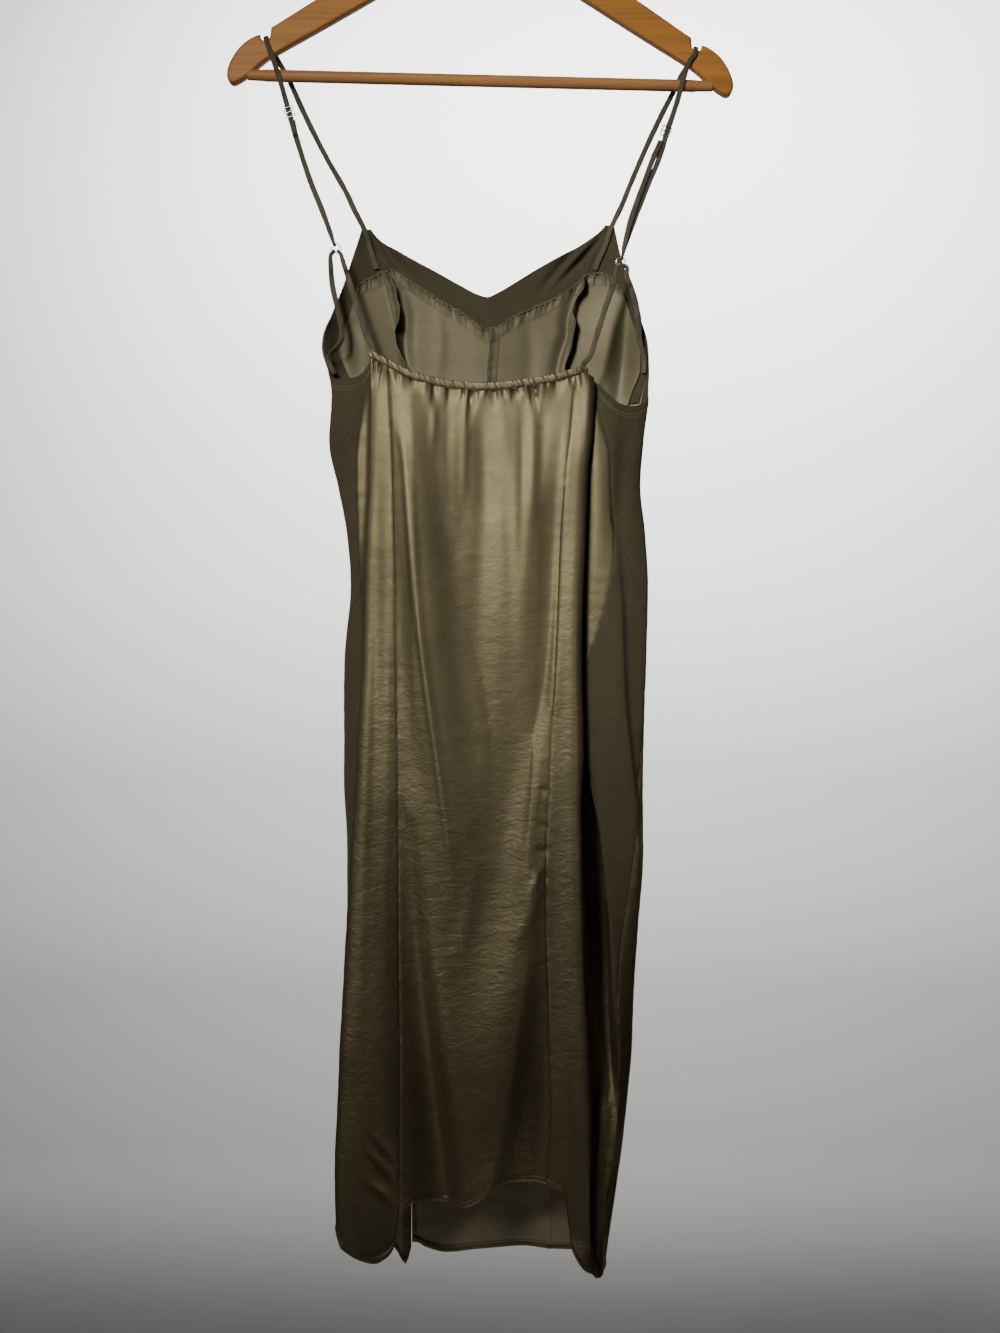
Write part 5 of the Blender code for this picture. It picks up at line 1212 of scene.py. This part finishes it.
def satin_material(name, colour, crinkle, shine=0.85):
    """Crepe-backed satin: soft sheen, fine crinkles that run across, painted darker in their
    troughs and lighter on their crests, a faint weave.
    """
    look = Shader(name, colour, Roughness=0.58, Metallic=shine, Sheen_Weight=0.05,
                  Sheen_Roughness=0.45, Specular_IOR_Level=0.5, Sheen_Tint=SATIN_TINT,
                  Specular_Tint=SATIN_TINT)
    cloudy = look.noise((14, 14, 9), 3.0)
    low = look.below(-0.50, -0.90, 0.12)
    crinkles_and_painted_shade = look.noise((95, 95, 170), 2.2, 0.5, (0.0, 0.55, 0.0), 0.9)
    slanted = look.noise((170, 170, 300), 2.0, 0.5, (0.0, -0.5, 0.0), 0.8)
    # The crinkles' pattern also sets the colour: painted shade in their troughs, painted highlight
    # on their crests.
    look.colour(look.mixed(0.35, look.shades(cloudy, colour, 0.88, 1.12, 0.35, 0.65),
                           look.shades(crinkles_and_painted_shade, colour, 0.80, 1.18)))
    look.roughness(look.noise((160, 160, 420), 2.0), 0.53, 0.61)
    look.bump(look.times(crinkles_and_painted_shade, low), 0.60 * crinkle)
    look.bump(look.times(slanted, low), 0.32 * crinkle)
    look.bump(look.noise((1500, 1500, 2600), 1.0), 0.05)
    return look.material


def reverse_material(name, colour):
    """The satin's dull side."""
    look = Shader(name, colour, Roughness=0.8, Sheen_Weight=0.1,
                  Sheen_Roughness=0.6, Specular_IOR_Level=0.25)
    cloudy = look.noise((40, 40, 90), 4.0, 0.6)
    look.colour(look.shades(cloudy, colour, 0.85, 1.15))
    look.roughness(cloudy, 0.74, 0.88)
    look.bump(look.noise((160, 160, 420), 3.0), 0.15)
    return look.material


def stretch_material():
    """Matte stretch fabric with fine slanting ribs and a little pilling."""
    colour = STRETCH_COLOUR
    look = Shader("stretch", colour, Roughness=0.88, Sheen_Weight=0.08, Sheen_Roughness=0.6,
                  Specular_IOR_Level=0.2, Sheen_Tint=STRETCH_TINT)
    cloudy = look.noise((30, 30, 22), 4.0, 0.6)
    ribs = look.waves((330, 330, 330), (0.0, 0.55, 0.0), 1.5)
    fuzz = look.noise((900, 900, 900), 2.0)
    look.colour(look.mixed(0.4, look.shades(cloudy, colour, 0.8, 1.2),
                           look.shades(fuzz, colour, 0.6, 1.5)))
    look.roughness(fuzz, 0.8, 0.95)
    look.bump(ribs, 0.12)
    look.bump(look.noise((120, 120, 200), 3.0), 0.5)
    look.bump(fuzz, 0.15)
    return look.material


def strap_material():
    """Rouleau tube: uneven crepe with a slanting twill."""
    colour = STRAP_COLOUR
    look = Shader("strap", colour, Roughness=0.66, Sheen_Weight=0.1, Sheen_Roughness=0.5,
                  Specular_IOR_Level=0.35)
    uneven = look.noise((160, 160, 90), 3.0)
    twill = look.waves((900, 900, 900), (0.0, 0.7, 0.0), 2.0)
    look.colour(look.shades(uneven, colour, 0.72, 1.35))
    look.roughness(uneven, 0.58, 0.74)
    look.bump(look.noise((240, 240, 120), 3.0), 0.4)
    look.bump(twill, 0.08)
    return look.material


def thread_material(name, colour):
    """Twisted sewing thread, with painted shade in the grooves between its plies."""
    look = Shader(name, colour, Roughness=0.6, Sheen_Weight=0.2, Specular_IOR_Level=0.4)
    twist_and_painted_shade = look.waves((1400, 1400, 1400), (0.4, 0.7, 0.2), 1.0)
    # The stripes of tone follow the bump: painted shade in the grooves, lighter on the crests.
    look.colour(look.shades(twist_and_painted_shade, colour, 0.7, 1.15, 0.2, 0.8))
    look.bump(twist_and_painted_shade, 0.08)
    return look.material


def wood_material(name, colour, lean):
    """Clear-lacquered wood with darker lines and pores.

    The grain leans with the arms of the yoke, the same on both sides; without a lean it runs
    along the piece.
    """
    look = Shader(name, colour, Roughness=0.46, Coat_Weight=0.05, Coat_Roughness=0.25,
                  Specular_IOR_Level=0.08)
    if lean:
        across, deep, high = look.axes()
        mirror = look.node("ShaderNodeMath", operation="ABSOLUTE")
        look.link(across, mirror.inputs[0])
        join = look.node("ShaderNodeCombineXYZ")
        for axis, source in zip("XYZ", (mirror.outputs["Value"], deep, high)):
            look.link(source, join.inputs[axis])
        look.place = join.outputs["Vector"]
    turn = (0.0, -lean, 0.0)
    broad = look.noise((6, 60, 60), 4.0, 0.6, turn, 0.6)
    lines = look.noise((14, 420, 420), 3.0, 0.6, turn, 0.2)
    pores = look.noise((90, 1500, 1500), 2.0, 0.5, turn)
    look.colour(look.mixed(0.42, look.shades(broad, colour, 0.78, 1.16),
                           look.shades(lines, colour, 0.66, 1.14, 0.35, 0.6)))
    look.roughness(lines, 0.42, 0.54)
    look.bump(lines, 0.06)
    look.bump(pores, 0.03)
    return look.material


def steel_material():
    """Bright metal with a faint brushed grain."""
    look = Shader("steel", (0.72, 0.72, 0.71), Metallic=1.0, Roughness=0.24)
    brushed = look.noise((500, 500, 120), 3.0)
    look.colour(look.tones(brushed, (0.3, (0.60, 0.60, 0.60)), (0.7, (0.78, 0.78, 0.77))))
    look.roughness(brushed, 0.16, 0.34)
    look.bump(look.noise((900, 900, 300), 2.0), 0.02)
    return look.material


def stage_material():
    """Pale floor and wall, with painted shade that makes them darker low down as in the
    photograph.
    """
    look = Shader("stage", (0.74, 0.735, 0.73), Roughness=0.95, Specular_IOR_Level=0.1)
    # painted shade: the colour of the stage darkens with height towards the floor
    height = look.spread(look.axes()[2], From_Min=STAGE_LOW, From_Max=STAGE_HIGH)
    look.colour(look.tones(height, *STAGE_PAINTED_SHADE))
    look.bump(look.noise((30, 30, 30), 3.0), 0.3)
    return look.material


MATERIALS = {
    "satin": satin_material("satin", SATIN_COLOUR, 1.0),
    "lining": satin_material("lining", LINING_COLOUR, 0.25, 0.25),
    "reverse": reverse_material("satin_reverse", REVERSE_COLOUR),
    "allowance": reverse_material("allowance_cloth", ALLOWANCE_COLOUR),
    "stretch": stretch_material(),
    "strap": strap_material(),
    "thread": thread_material("thread", THREAD_COLOUR),
    "dark_thread": thread_material("dark_thread", tone(THREAD_COLOUR, 0.6)),
    "pale_thread": thread_material("pale_thread", tone(THREAD_COLOUR, 1.5)),
    "yoke": wood_material("yoke_wood", WOOD_COLOUR, YOKE_GRAIN),
    "bar": wood_material("bar_wood", BAR_COLOUR, 0.0),
    "steel": steel_material(),
    "stage": stage_material(),
}


# ---------------------------------------------------------------- the dress
BELOW_CASING = tuple((station, height - (CASING_HEIGHT + SEAM_GAP))
                     for station, height in BACK_TOP)
# Outer cloth: left and right seam or station, top and foot edge, width and height of a cell.
PANELS = {
    "back_center": (SEAM_L, SEAM_R, BELOW_CASING, HEM_BACK, (1.5, 2.4)),
    "back_side_left": ("left_back", SEAM_L, BELOW_CASING, HEM_SIDE_LEFT, (1.6, 2.4)),
    "back_side_right": (SEAM_R, "right_back", BELOW_CASING, HEM_SIDE_RIGHT, (1.6, 2.4)),
    "side_panel_left": ("left_front", "left_back", SIDE_LEFT_TOP, MATTE_END, (2.4, 2.6)),
    "side_panel_right": ("right_back", "right_front", SIDE_RIGHT_TOP, MATTE_END, (1.7, 2.6)),
    "front_side_right": ("right_front", FRONT_R, PEAK_RIGHT, HEM_FRONT_RIGHT, (2.4, 2.8)),
    "front_center": (FRONT_R, "slit_center", FRONT_TOP, HEM_FRONT, (2.4, 2.8)),
    "front_side_left": ("slit_side", "left_front", PEAK_LEFT, HEM_FRONT_LEFT, (2.4, 2.8)),
}
# Inside layers: left and right station, top edge.
FACINGS = {
    "front_facing_right": (FRONT_R, CENTRE, FRONT_TOP),
    "front_facing_left": (CENTRE, FRONT_L, FRONT_TOP),
    "armhole_facing_right": (EDGE_R, FRONT_R, PEAK_RIGHT),
    "armhole_facing_left": (LEFT_FRONT, EDGE_L, PEAK_LEFT),
}
LININGS = {
    "lining_center_right": (FRONT_R, LINING_SEAM, LINING_TOP_RIGHT),
    "lining_center_left": (LINING_SEAM, FRONT_L, LINING_TOP_LEFT),
    "lining_side_right": (EDGE_R + 0.20, FRONT_R, LINING_SIDE_TOP_RIGHT),
    "lining_side_left": (LEFT_FRONT, EDGE_L - 0.38, LINING_SIDE_TOP_LEFT),
}


def build_panels():
    """The outer cloth: satin panels, matte side panels."""
    for node, place in PANELS.items():
        kind = "stretch" if node.startswith("side_panel") else "satin"
        dress_up(panel(node + "_cloth", kind, *place), kind, node)


def build_inner_layers():
    """Facings and lining, which show above the back's neckline."""
    for node, place in FACINGS.items():
        piece = panel(node + "_cloth", "stretch", *place, FACING_FOOT, (1.8, 2.0),
                      FACING_LIFT)
        dress_up(piece, "stretch", node)
    for node, place in LININGS.items():
        piece = panel(node + "_cloth", "lining", *place, LINING_FOOT, (1.4, 1.6),
                      LINING_LIFT, RUFFLE)
        dress_up(piece, "lining", node)


def build_casing():
    """Elastic casing, ruched into fine uneven ribs that lean."""
    columns, around = 620, 20
    stations = np.linspace(FOLD_L + 0.05, FOLD_R - 0.05, columns)
    base, _, normal = skin(stations, edge_height(BACK_TOP, stations) - 0.5 * CASING_HEIGHT)
    angle = turns(around)
    up = 0.5 * CASING_HEIGHT * squarish(np.sin(angle), 0.7)
    out = 0.5 * CASING_WALL * squarish(np.cos(angle), 0.8)
    run = run_along(base)
    place = np.stack(np.broadcast_arrays(run[:, None] + 0.55 * up, 0.4 * up, 0 * up), axis=-1)
    ribs = noise(place, (1.25, 4.0, 4.0), 71) + 0.5 * noise(place, (0.8, 3.0, 3.0), 72)
    tucks = (bell(noise(place, (2.2, 6.0, 6.0), 74) / 0.2)
             * (0.8 + 0.5 * noise(place, (3, 4, 4), 75)))
    outer = out + (0.45 * ribs - 0.8 * tucks) * np.clip(out / CASING_WALL + 0.4, 0, 1)
    edge = 0.35 * noise(on_line(run), (2.2, 5, 5), 73)
    verts = base[:, None] + normal[:, None] * (outer - SEAM_GAP)[..., None]
    verts[..., 2] += up + edge[:, None] * np.sign(up)
    faces = tube_faces(columns, around)
    piece = add_object("back_casing_ruched", verts.reshape(-1, 3), faces, "satin")
    dress_up(piece, "satin", "back_neck_casing")


# Lines of machine stitches: pitch, and the share of it that the thread shows.
CASING_STITCH, TWIN_STITCH = (2.6, 0.72), (2.5, 0.74)
HEM_STITCH, LINING_STITCH = (2.8, 0.7), (2.4, 0.7)


def build_sewing():
    """Stitch lines and serged edges."""
    edge = line_on(FOLD_L + 0.1, FOLD_R - 0.1, BACK_TOP, CASING_HEIGHT + 0.2, 0.2, 300)
    sew("casing_stitches", stitches(edge, *CASING_STITCH, 1), (0.2,))
    runs = []
    for edge, first, last in ((SIDE_LEFT_TOP, -0.85, 2.35),
                              (SIDE_RIGHT_TOP, GROOVE + 0.45, EDGE_R - 0.15)):
        for number, drop in enumerate((7.5, 10.0)):
            line = line_on(first, last, edge, drop, 0.15, 200)
            runs += stitches(line, *TWIN_STITCH, 5 + number)
    sew("armhole_twin_stitches", runs, (0.24,), "pale_thread")
    runs = []
    for number, edge in enumerate((HEM_BACK, HEM_SIDE_LEFT, HEM_SIDE_RIGHT, HEM_FRONT_RIGHT,
                                   HEM_FRONT, HEM_FRONT_LEFT)):
        for lift in (0.12, -CLOTH - 0.12):
            line = line_on(edge[0][0] + 0.02, edge[-1][0] - 0.02, edge, -HEM_DEPTH - 0.6, lift,
                           220)
            runs += stitches(line, *HEM_STITCH, 9 + number)
    sew("hem_stitches", runs, (0.2,))
    serged, runs = [], []
    inside = LINING_LIFT - CLOTH
    for number, (first, last, edge) in enumerate(LININGS.values()):
        serged += serging(first, last, edge, inside)
        line = line_on(first, last, edge, 10.5, inside - 0.1, 200)
        runs += stitches(line, *LINING_STITCH, 30 + number)
    sew("lining_serging", serged, (0.32, 0.32, 0.6), "thread", 6)
    sew("lining_stitches", runs, (0.2,))


def serging(first, last, edge, lift):
    """Overlock threads on a ruffled edge: a zigzag and the purl along its top."""
    stations = np.linspace(first, last, 700)
    run = run_along(surface(stations, edge_at(edge, stations)))
    steps = int(run[-1] / SERGE_PITCH)
    along = np.linspace(0, run[-1], steps)
    even = np.interp(along, run, stations)
    top = edge_at(edge, even)
    threads = []
    for low, high in ((4.2, 0.0), (0.2, -0.2)):
        heights = top - np.where(np.arange(steps) % 2 == 0, high, low)
        waves = RUFFLE * ruffle_relief(even, top - heights)
        threads.append(on_cloth(even, heights, lift - waves - 0.12)[0])
    line = on_line(along)
    curl = 1.1 * noise(line, (2.6, 9, 9), 95) + 0.9 * noise(line, (1.2, 9, 9), 96)
    waves = RUFFLE * ruffle_relief(even, 0 * even)
    threads.append(on_cloth(even, top + 0.5 * curl, lift - waves - 0.45 + 0.5 * curl)[0])
    return threads


# Seam allowances of the lining: seam, top, foot, seed, and how far the edge is right of the seam
# by height.
ALLOWANCES = {
    "left": (FRONT_L, -370.5, -478.0, 81, (
        (-370, 5.0), (-384, 7.0), (-398, 7.0), (-411, 4.0), (-423, -2.5), (-435, -3.5),
        (-446, -1.0), (-456, 2.0), (-478, -3.0))),
    "right": (FRONT_R, -373.5, -478.0, 83, (
        (-373, -1.0), (-384, 2.7), (-393, -1.8), (-404, -3.6), (-418, 2.7), (-433, 2.7),
        (-454, -1.0), (-478, 2.0))),
    "centre": (LINING_SEAM, -417.5, -490.0, 85, ((-417, -7.9), (-490, -7.9))),
}


def allowance(name, seam, top, foot, seed, sway):
    """Serged seam allowance that stands off the lining; gives its threads."""
    heights = np.arange(top, foot, -1.2)
    inside = LINING_LIFT - CLOTH
    root, normal = on_cloth(float(seam), heights, inside)
    across = unit(root - on_cloth(seam + 0.05, heights, inside)[0])
    line = np.stack([0 * heights, 0 * heights, heights], axis=-1)
    reach = ALLOWANCE_WIDTH * (1.06 + 0.06 * noise(line, (9, 9, 6), seed + 1))
    levels, places = np.array(sway, dtype=float)[::-1].T
    aside = hermite(levels, places, np.clip(heights, levels[0], levels[-1]))
    aside = aside * reach / ALLOWANCE_WIDTH + 0.4 * noise(line, (9, 9, 4), seed)
    stand = np.sqrt(np.maximum(reach ** 2 - aside ** 2, 1.0))
    face = unit(np.cross((0.0, 0.0, -1.0), across * aside[:, None] - normal * stand[:, None]))
    columns = 6
    parts = np.linspace(0, 1, columns)[None, :, None]
    middle = (root[:, None] + across[:, None] * aside[:, None, None] * parts ** 1.4
              - normal[:, None] * (stand[:, None, None] * parts + 0.2))
    sides = np.stack([middle + 0.25 * face[:, None], middle - 0.25 * face[:, None]])
    faces = shell_faces(len(heights), columns)
    dress_up(add_object(name, sides.reshape(-1, 3), faces, "allowance"), "lining")
    threads = [middle[:, -1]]
    for side in (0.4, -0.4):
        path = []
        for number, at in enumerate(np.arange(0, len(heights) - 1, 0.5)):
            low, row = int(at), middle[:, -1 if number % 2 else -3] + side * face
            path.append(row[low] + (at - low) * (row[low + 1] - row[low]))
        threads.append(np.array(path))
    return threads


def build_allowances():
    """Seam allowances inside the bodice, their serging and the seams under them."""
    threads = []
    for name, values in ALLOWANCES.items():
        threads += allowance("allowance_" + name, *values)
    sew("allowance_serging", threads, (0.5, 0.24, 0.24), "thread")
    seams = [on_cloth(station, np.linspace(top, foot, 60), lift - CLOTH - 0.02)[0]
             for station, top, foot, lift in ((CENTRE, -391.0, -424.0, FACING_LIFT),
                                              (LINING_SEAM, -417.0, -490.0, LINING_LIFT))]
    sew("inner_seam_lines", seams, (0.3, 0.4))


# ---------------------------------------------------------------- straps
def strap_mesh(name, rows, seed):
    """Rouleau tube: a soft flat section with small swellings and twists."""
    path = smooth_path(rows, 8)
    points = path[:, :3]
    tangent = unit(np.gradient(points, axis=0))
    side = path[:, 4:]
    side = unit(side - tangent * np.sum(side * tangent, axis=1, keepdims=True))
    up = np.cross(side, tangent)
    line = on_line(run_along(points))
    width = 0.5 * path[:, 3] * (1.0 + 0.07 * noise(line, (7, 7, 7), seed))
    thick = 0.5 * STRAP_WALL * (1.3 + 0.18 * noise(line, (5, 5, 5), seed + 1))
    around = 14
    angle = turns(around)
    flat, deep = squarish(np.cos(angle), 0.75), squarish(np.sin(angle), 0.85)
    groove = 1 - 0.25 * bell(flat / 0.12) * (deep < 0)
    verts = (points[:, None] + side[:, None] * (width[:, None] * flat)[..., None]
             + up[:, None] * (thick[:, None] * deep * groove)[..., None])
    return add_object(name, verts.reshape(-1, 3), tube_faces(len(path), around), "strap")


def bartacks():
    """Dense short stitches across the straps where their ends are folded back."""
    runs = []
    for rows, at, across in (
            (OUTER_STRAP_LEFT, 0.35, ACROSS_LEFT), (INNER_STRAP_LEFT, 0.6, ACROSS_LEFT),
            (OUTER_STRAP_RIGHT, 0.8, ACROSS_RIGHT), (INNER_STRAP_RIGHT, 0.5, ACROSS_RIGHT),
            (LONG_FRONT_LEFT, 0.7, ACROSS_LEFT), (LONG_FRONT_RIGHT, 0.6, ACROSS_RIGHT)):
        near, far = np.array(rows[0][:3]), np.array(rows[1][:3])
        way = unit(far - near)
        side = 0.5 * (STRAP_WIDTH - 0.8) * unit(across - way * (across @ way))
        out = unit(np.cross(side, way))
        out *= -0.98 * np.sign(out[1])
        for line in range(5):
            middle = near + (far - near) * at + way * 0.75 * line + out
            runs.append(np.array([middle - side, middle - 0.3 * side + 0.12 * out,
                                  middle + 0.3 * side + 0.12 * out, middle + side]))
    sew("strap_bartacks", runs, (0.24,), slot="strap")


def build_straps():
    """Long straps from slider to front peak, short ones from ring to armhole and to casing."""
    on_facing = FACING_LIFT - LAYER - STRAP_GAP - 0.5 * STRAP_WALL
    in_casing = -(CASING_WALL + LAYER_GAP + 0.5 * STRAP_WALL)
    for number, (side, ring, angle, front, rear, inside, across) in enumerate((
            ("left", RING_LEFT, 112, LONG_FRONT_LEFT, LONG_REAR_LEFT, STRAP_INSIDE_LEFT,
             ACROSS_LEFT),
            ("right", RING_RIGHT, 76, LONG_FRONT_RIGHT, LONG_REAR_RIGHT, STRAP_INSIDE_RIGHT,
             ACROSS_RIGHT))):
        node = "strap_long_" + side
        tail = inside_run([(front_station(x, z), z) for x, z in inside], on_facing, across)
        rows = (free_run(front, across) + ring_turn(ring, angle, across)
                + free_run(rear, across) + tail)
        dress_up(strap_mesh(node + "_tube", rows, 50 + number), "strap", node)
    for number, (side, ring, angle, run, tail, lift, across) in enumerate((
            ("outer_left", RING_LEFT, -128, OUTER_STRAP_LEFT, OUTER_END_LEFT, on_facing,
             ACROSS_LEFT),
            ("outer_right", RING_RIGHT, -42, OUTER_STRAP_RIGHT, OUTER_END_RIGHT, on_facing,
             ACROSS_RIGHT),
            ("inner_left", RING_LEFT, -52, INNER_STRAP_LEFT, INNER_END_LEFT, in_casing,
             ACROSS_LEFT),
            ("inner_right", RING_RIGHT, -122, INNER_STRAP_RIGHT, INNER_END_RIGHT, in_casing,
             ACROSS_RIGHT))):
        node = "strap_" + side
        rows = ring_turn(ring, angle, across)[::-1] + free_run(run, across)
        rows += inside_run(tail, lift, across)
        dress_up(strap_mesh(node + "_tube", rows, 60 + 3 * number), "strap", node)


# ---------------------------------------------------------------- hardware and hanger
def wire(name, loops, radius, material, closed=True):
    """Round wire along loops of points, as one mesh."""
    curve = bpy.data.curves.new(name, "CURVE")
    curve.dimensions = "3D"
    curve.bevel_depth = radius * MM
    curve.bevel_resolution = 3
    curve.use_fill_caps = True
    for loop in loops:
        line = curve.splines.new("POLY")
        line.points.add(len(loop) - 1)
        for point, place in zip(line.points, loop):
            point.co = (*(Vector(place) * MM), 1)
        line.use_cyclic_u = closed
    item = bpy.data.objects.new(name, curve)
    bpy.context.scene.collection.objects.link(item)
    return add_mesh(name, taken_mesh(item), material)


def taken_mesh(item):
    """Mesh of an object with its modifiers applied, in the scene's frame; the object goes."""
    bpy.context.view_layer.update()
    shown = item.evaluated_get(bpy.context.evaluated_depsgraph_get())
    mesh = bpy.data.meshes.new_from_object(shown)
    mesh.transform(item.matrix_world)
    bpy.data.objects.remove(item)
    return mesh


def rounded_rectangle(width, height, corner, steps=6):
    """Outline of a slider's frame, in (x, z)."""
    points = []
    for quarter, (x, z) in enumerate(((1, 1), (-1, 1), (-1, -1), (1, -1))):
        for step in range(steps + 1):
            angle = math.pi / 2 * (quarter + step / steps)
            points.append((x * (width / 2 - corner) + corner * math.cos(angle),
                           z * (height / 2 - corner) + corner * math.sin(angle)))
    return points


def build_hardware():
    """Rings and sliders: round wire, and the slider's crossbar."""
    angles = turns(48)
    for node, (x, y, z) in (("ring_left", RING_LEFT), ("ring_right", RING_RIGHT)):
        loop = [(x - HOOK_X + RING_RADIUS * math.cos(a), y, z + RING_RADIUS * math.sin(a))
                for a in angles]
        dress_up(wire(node + "_wire", [loop], RING_WIRE, "steel"), "steel", node)
    outline = rounded_rectangle(SLIDER_WIDTH, SLIDER_HEIGHT, SLIDER_CORNER)
    bar = [(share * CROSSBAR_REACH, 0.0) for share in (-1.0, -0.5, 0.5, 1.0)]
    for node, place, lean in (("slider_left", SLIDER_LEFT, LEAN_LEFT),
                              ("slider_right", SLIDER_RIGHT, LEAN_RIGHT)):
        turn = Matrix.Rotation(lean, 3, "Y")
        middle = Vector(place) - Vector((HOOK_X, 0, 0))
        frame_loop, bar_line = ([tuple(turn @ Vector((x, 0, z)) + middle) for x, z in points]
                                for points in (outline, bar))
        dress_up(wire(node + "_frame", [frame_loop], SLIDER_WIRE, "steel"), "steel", node)
        dress_up(wire(node + "_crossbar", [bar_line], CROSSBAR_WIRE, "steel", False), "steel")


def tilt(mesh):
    """The mesh leant with the hanger."""
    mesh.transform(Matrix.Rotation(HANGER_TILT, 4, "Y"))
    return mesh


def build_hanger():
    """Yoke with rounded edges, trouser bar and hook, all tilted as in the photograph."""
    right = smooth_path(np.array([(x, z) for x, z in ARM_OUTLINE[1:-1]], dtype=float), 5)
    loop = [(0, ARM_OUTLINE[0][1])] + [tuple(p) for p in right] + [(0, ARM_OUTLINE[-1][1])]
    loop += [(-x, z) for x, z in right[::-1]]
    outline = bpy.data.curves.new("yoke", "CURVE")
    outline.dimensions = "2D"
    outline.fill_mode = "BOTH"
    outline.extrude = (0.5 * HANGER_WALL - YOKE_ROUNDING) * MM
    outline.bevel_depth = YOKE_ROUNDING * MM
    outline.bevel_resolution = 4
    outline.offset = -YOKE_ROUNDING * MM
    line = outline.splines.new("POLY")
    line.points.add(len(loop) - 1)
    for point, (x, z) in zip(line.points, loop):
        point.co = (x * MM, z * MM, 0, 1)
    line.use_cyclic_u = True
    item = bpy.data.objects.new("yoke", outline)
    item.rotation_euler = (math.pi / 2, 0, 0)
    bpy.context.scene.collection.objects.link(item)
    yoke = add_mesh("hanger_yoke_wood", tilt(taken_mesh(item)), "yoke", 40)
    dress_up(yoke, "wood", "hanger_yoke")
    dowel = add_mesh("hanger_bar_dowel", tilt(bar_mesh()), "bar", 40)
    dress_up(dowel, "wood", "hanger_bar")
    reach = HOOK_RADIUS + HOOK_WIRE
    path = [(0, NECK_TOP + 0.3), (0, -56), (0, -52), (0.8, -46), (2.6, -43), (5.0, -40.5)]
    arc = [(reach * math.cos(a), reach * math.sin(a) - HOOK_RADIUS)
           for a in np.linspace(HOOK_START, HOOK_END, 48)]
    bend = smooth_path(np.array(path + arc[:1]), 5)
    wire_path = [(x, 0, z) for x, z in bend] + [(x, 0, z) for x, z in arc[1:]]
    hook = wire("hook", [wire_path], HOOK_WIRE, "steel", False)
    mesh = tilt(hook.data.copy())
    bpy.data.objects.remove(hook)
    dress_up(add_mesh("hanger_hook_wire", mesh, "steel"), "steel", "hanger_hook")


def bar_mesh():
    """Turned dowel: tapered ends with a fine shoulder where the taper starts."""
    shoulder = BAR_REACH - BAR_TAPER
    half = [(3.6, BAR_REACH), (4.4, BAR_REACH - 0.8), (4.7, BAR_REACH - 6),
            (4.9, shoulder + 2.0), (5.1, shoulder + 0.5), (BAR_RADIUS - 0.25, shoulder),
            (BAR_RADIUS, shoulder - 0.8), (BAR_RADIUS, 120), (BAR_RADIUS + 0.05, 40)]
    profile = half + [(r, -x) for r, x in half[::-1]]
    around = 32
    verts = [(x * MM, (r * math.cos(a) - BAR_FORWARD) * MM, (BAR_HEIGHT + r * math.sin(a)) * MM)
             for r, x in profile for a in turns(around)]
    mesh = bpy.data.meshes.new("bar")
    mesh.from_pydata(verts, [], tube_faces(len(profile), around))
    return mesh


make_camera()
make_lights()
make_stage()
build_panels()
build_inner_layers()
build_casing()
build_sewing()
build_allowances()
build_straps()
bartacks()
build_hardware()
build_hanger()
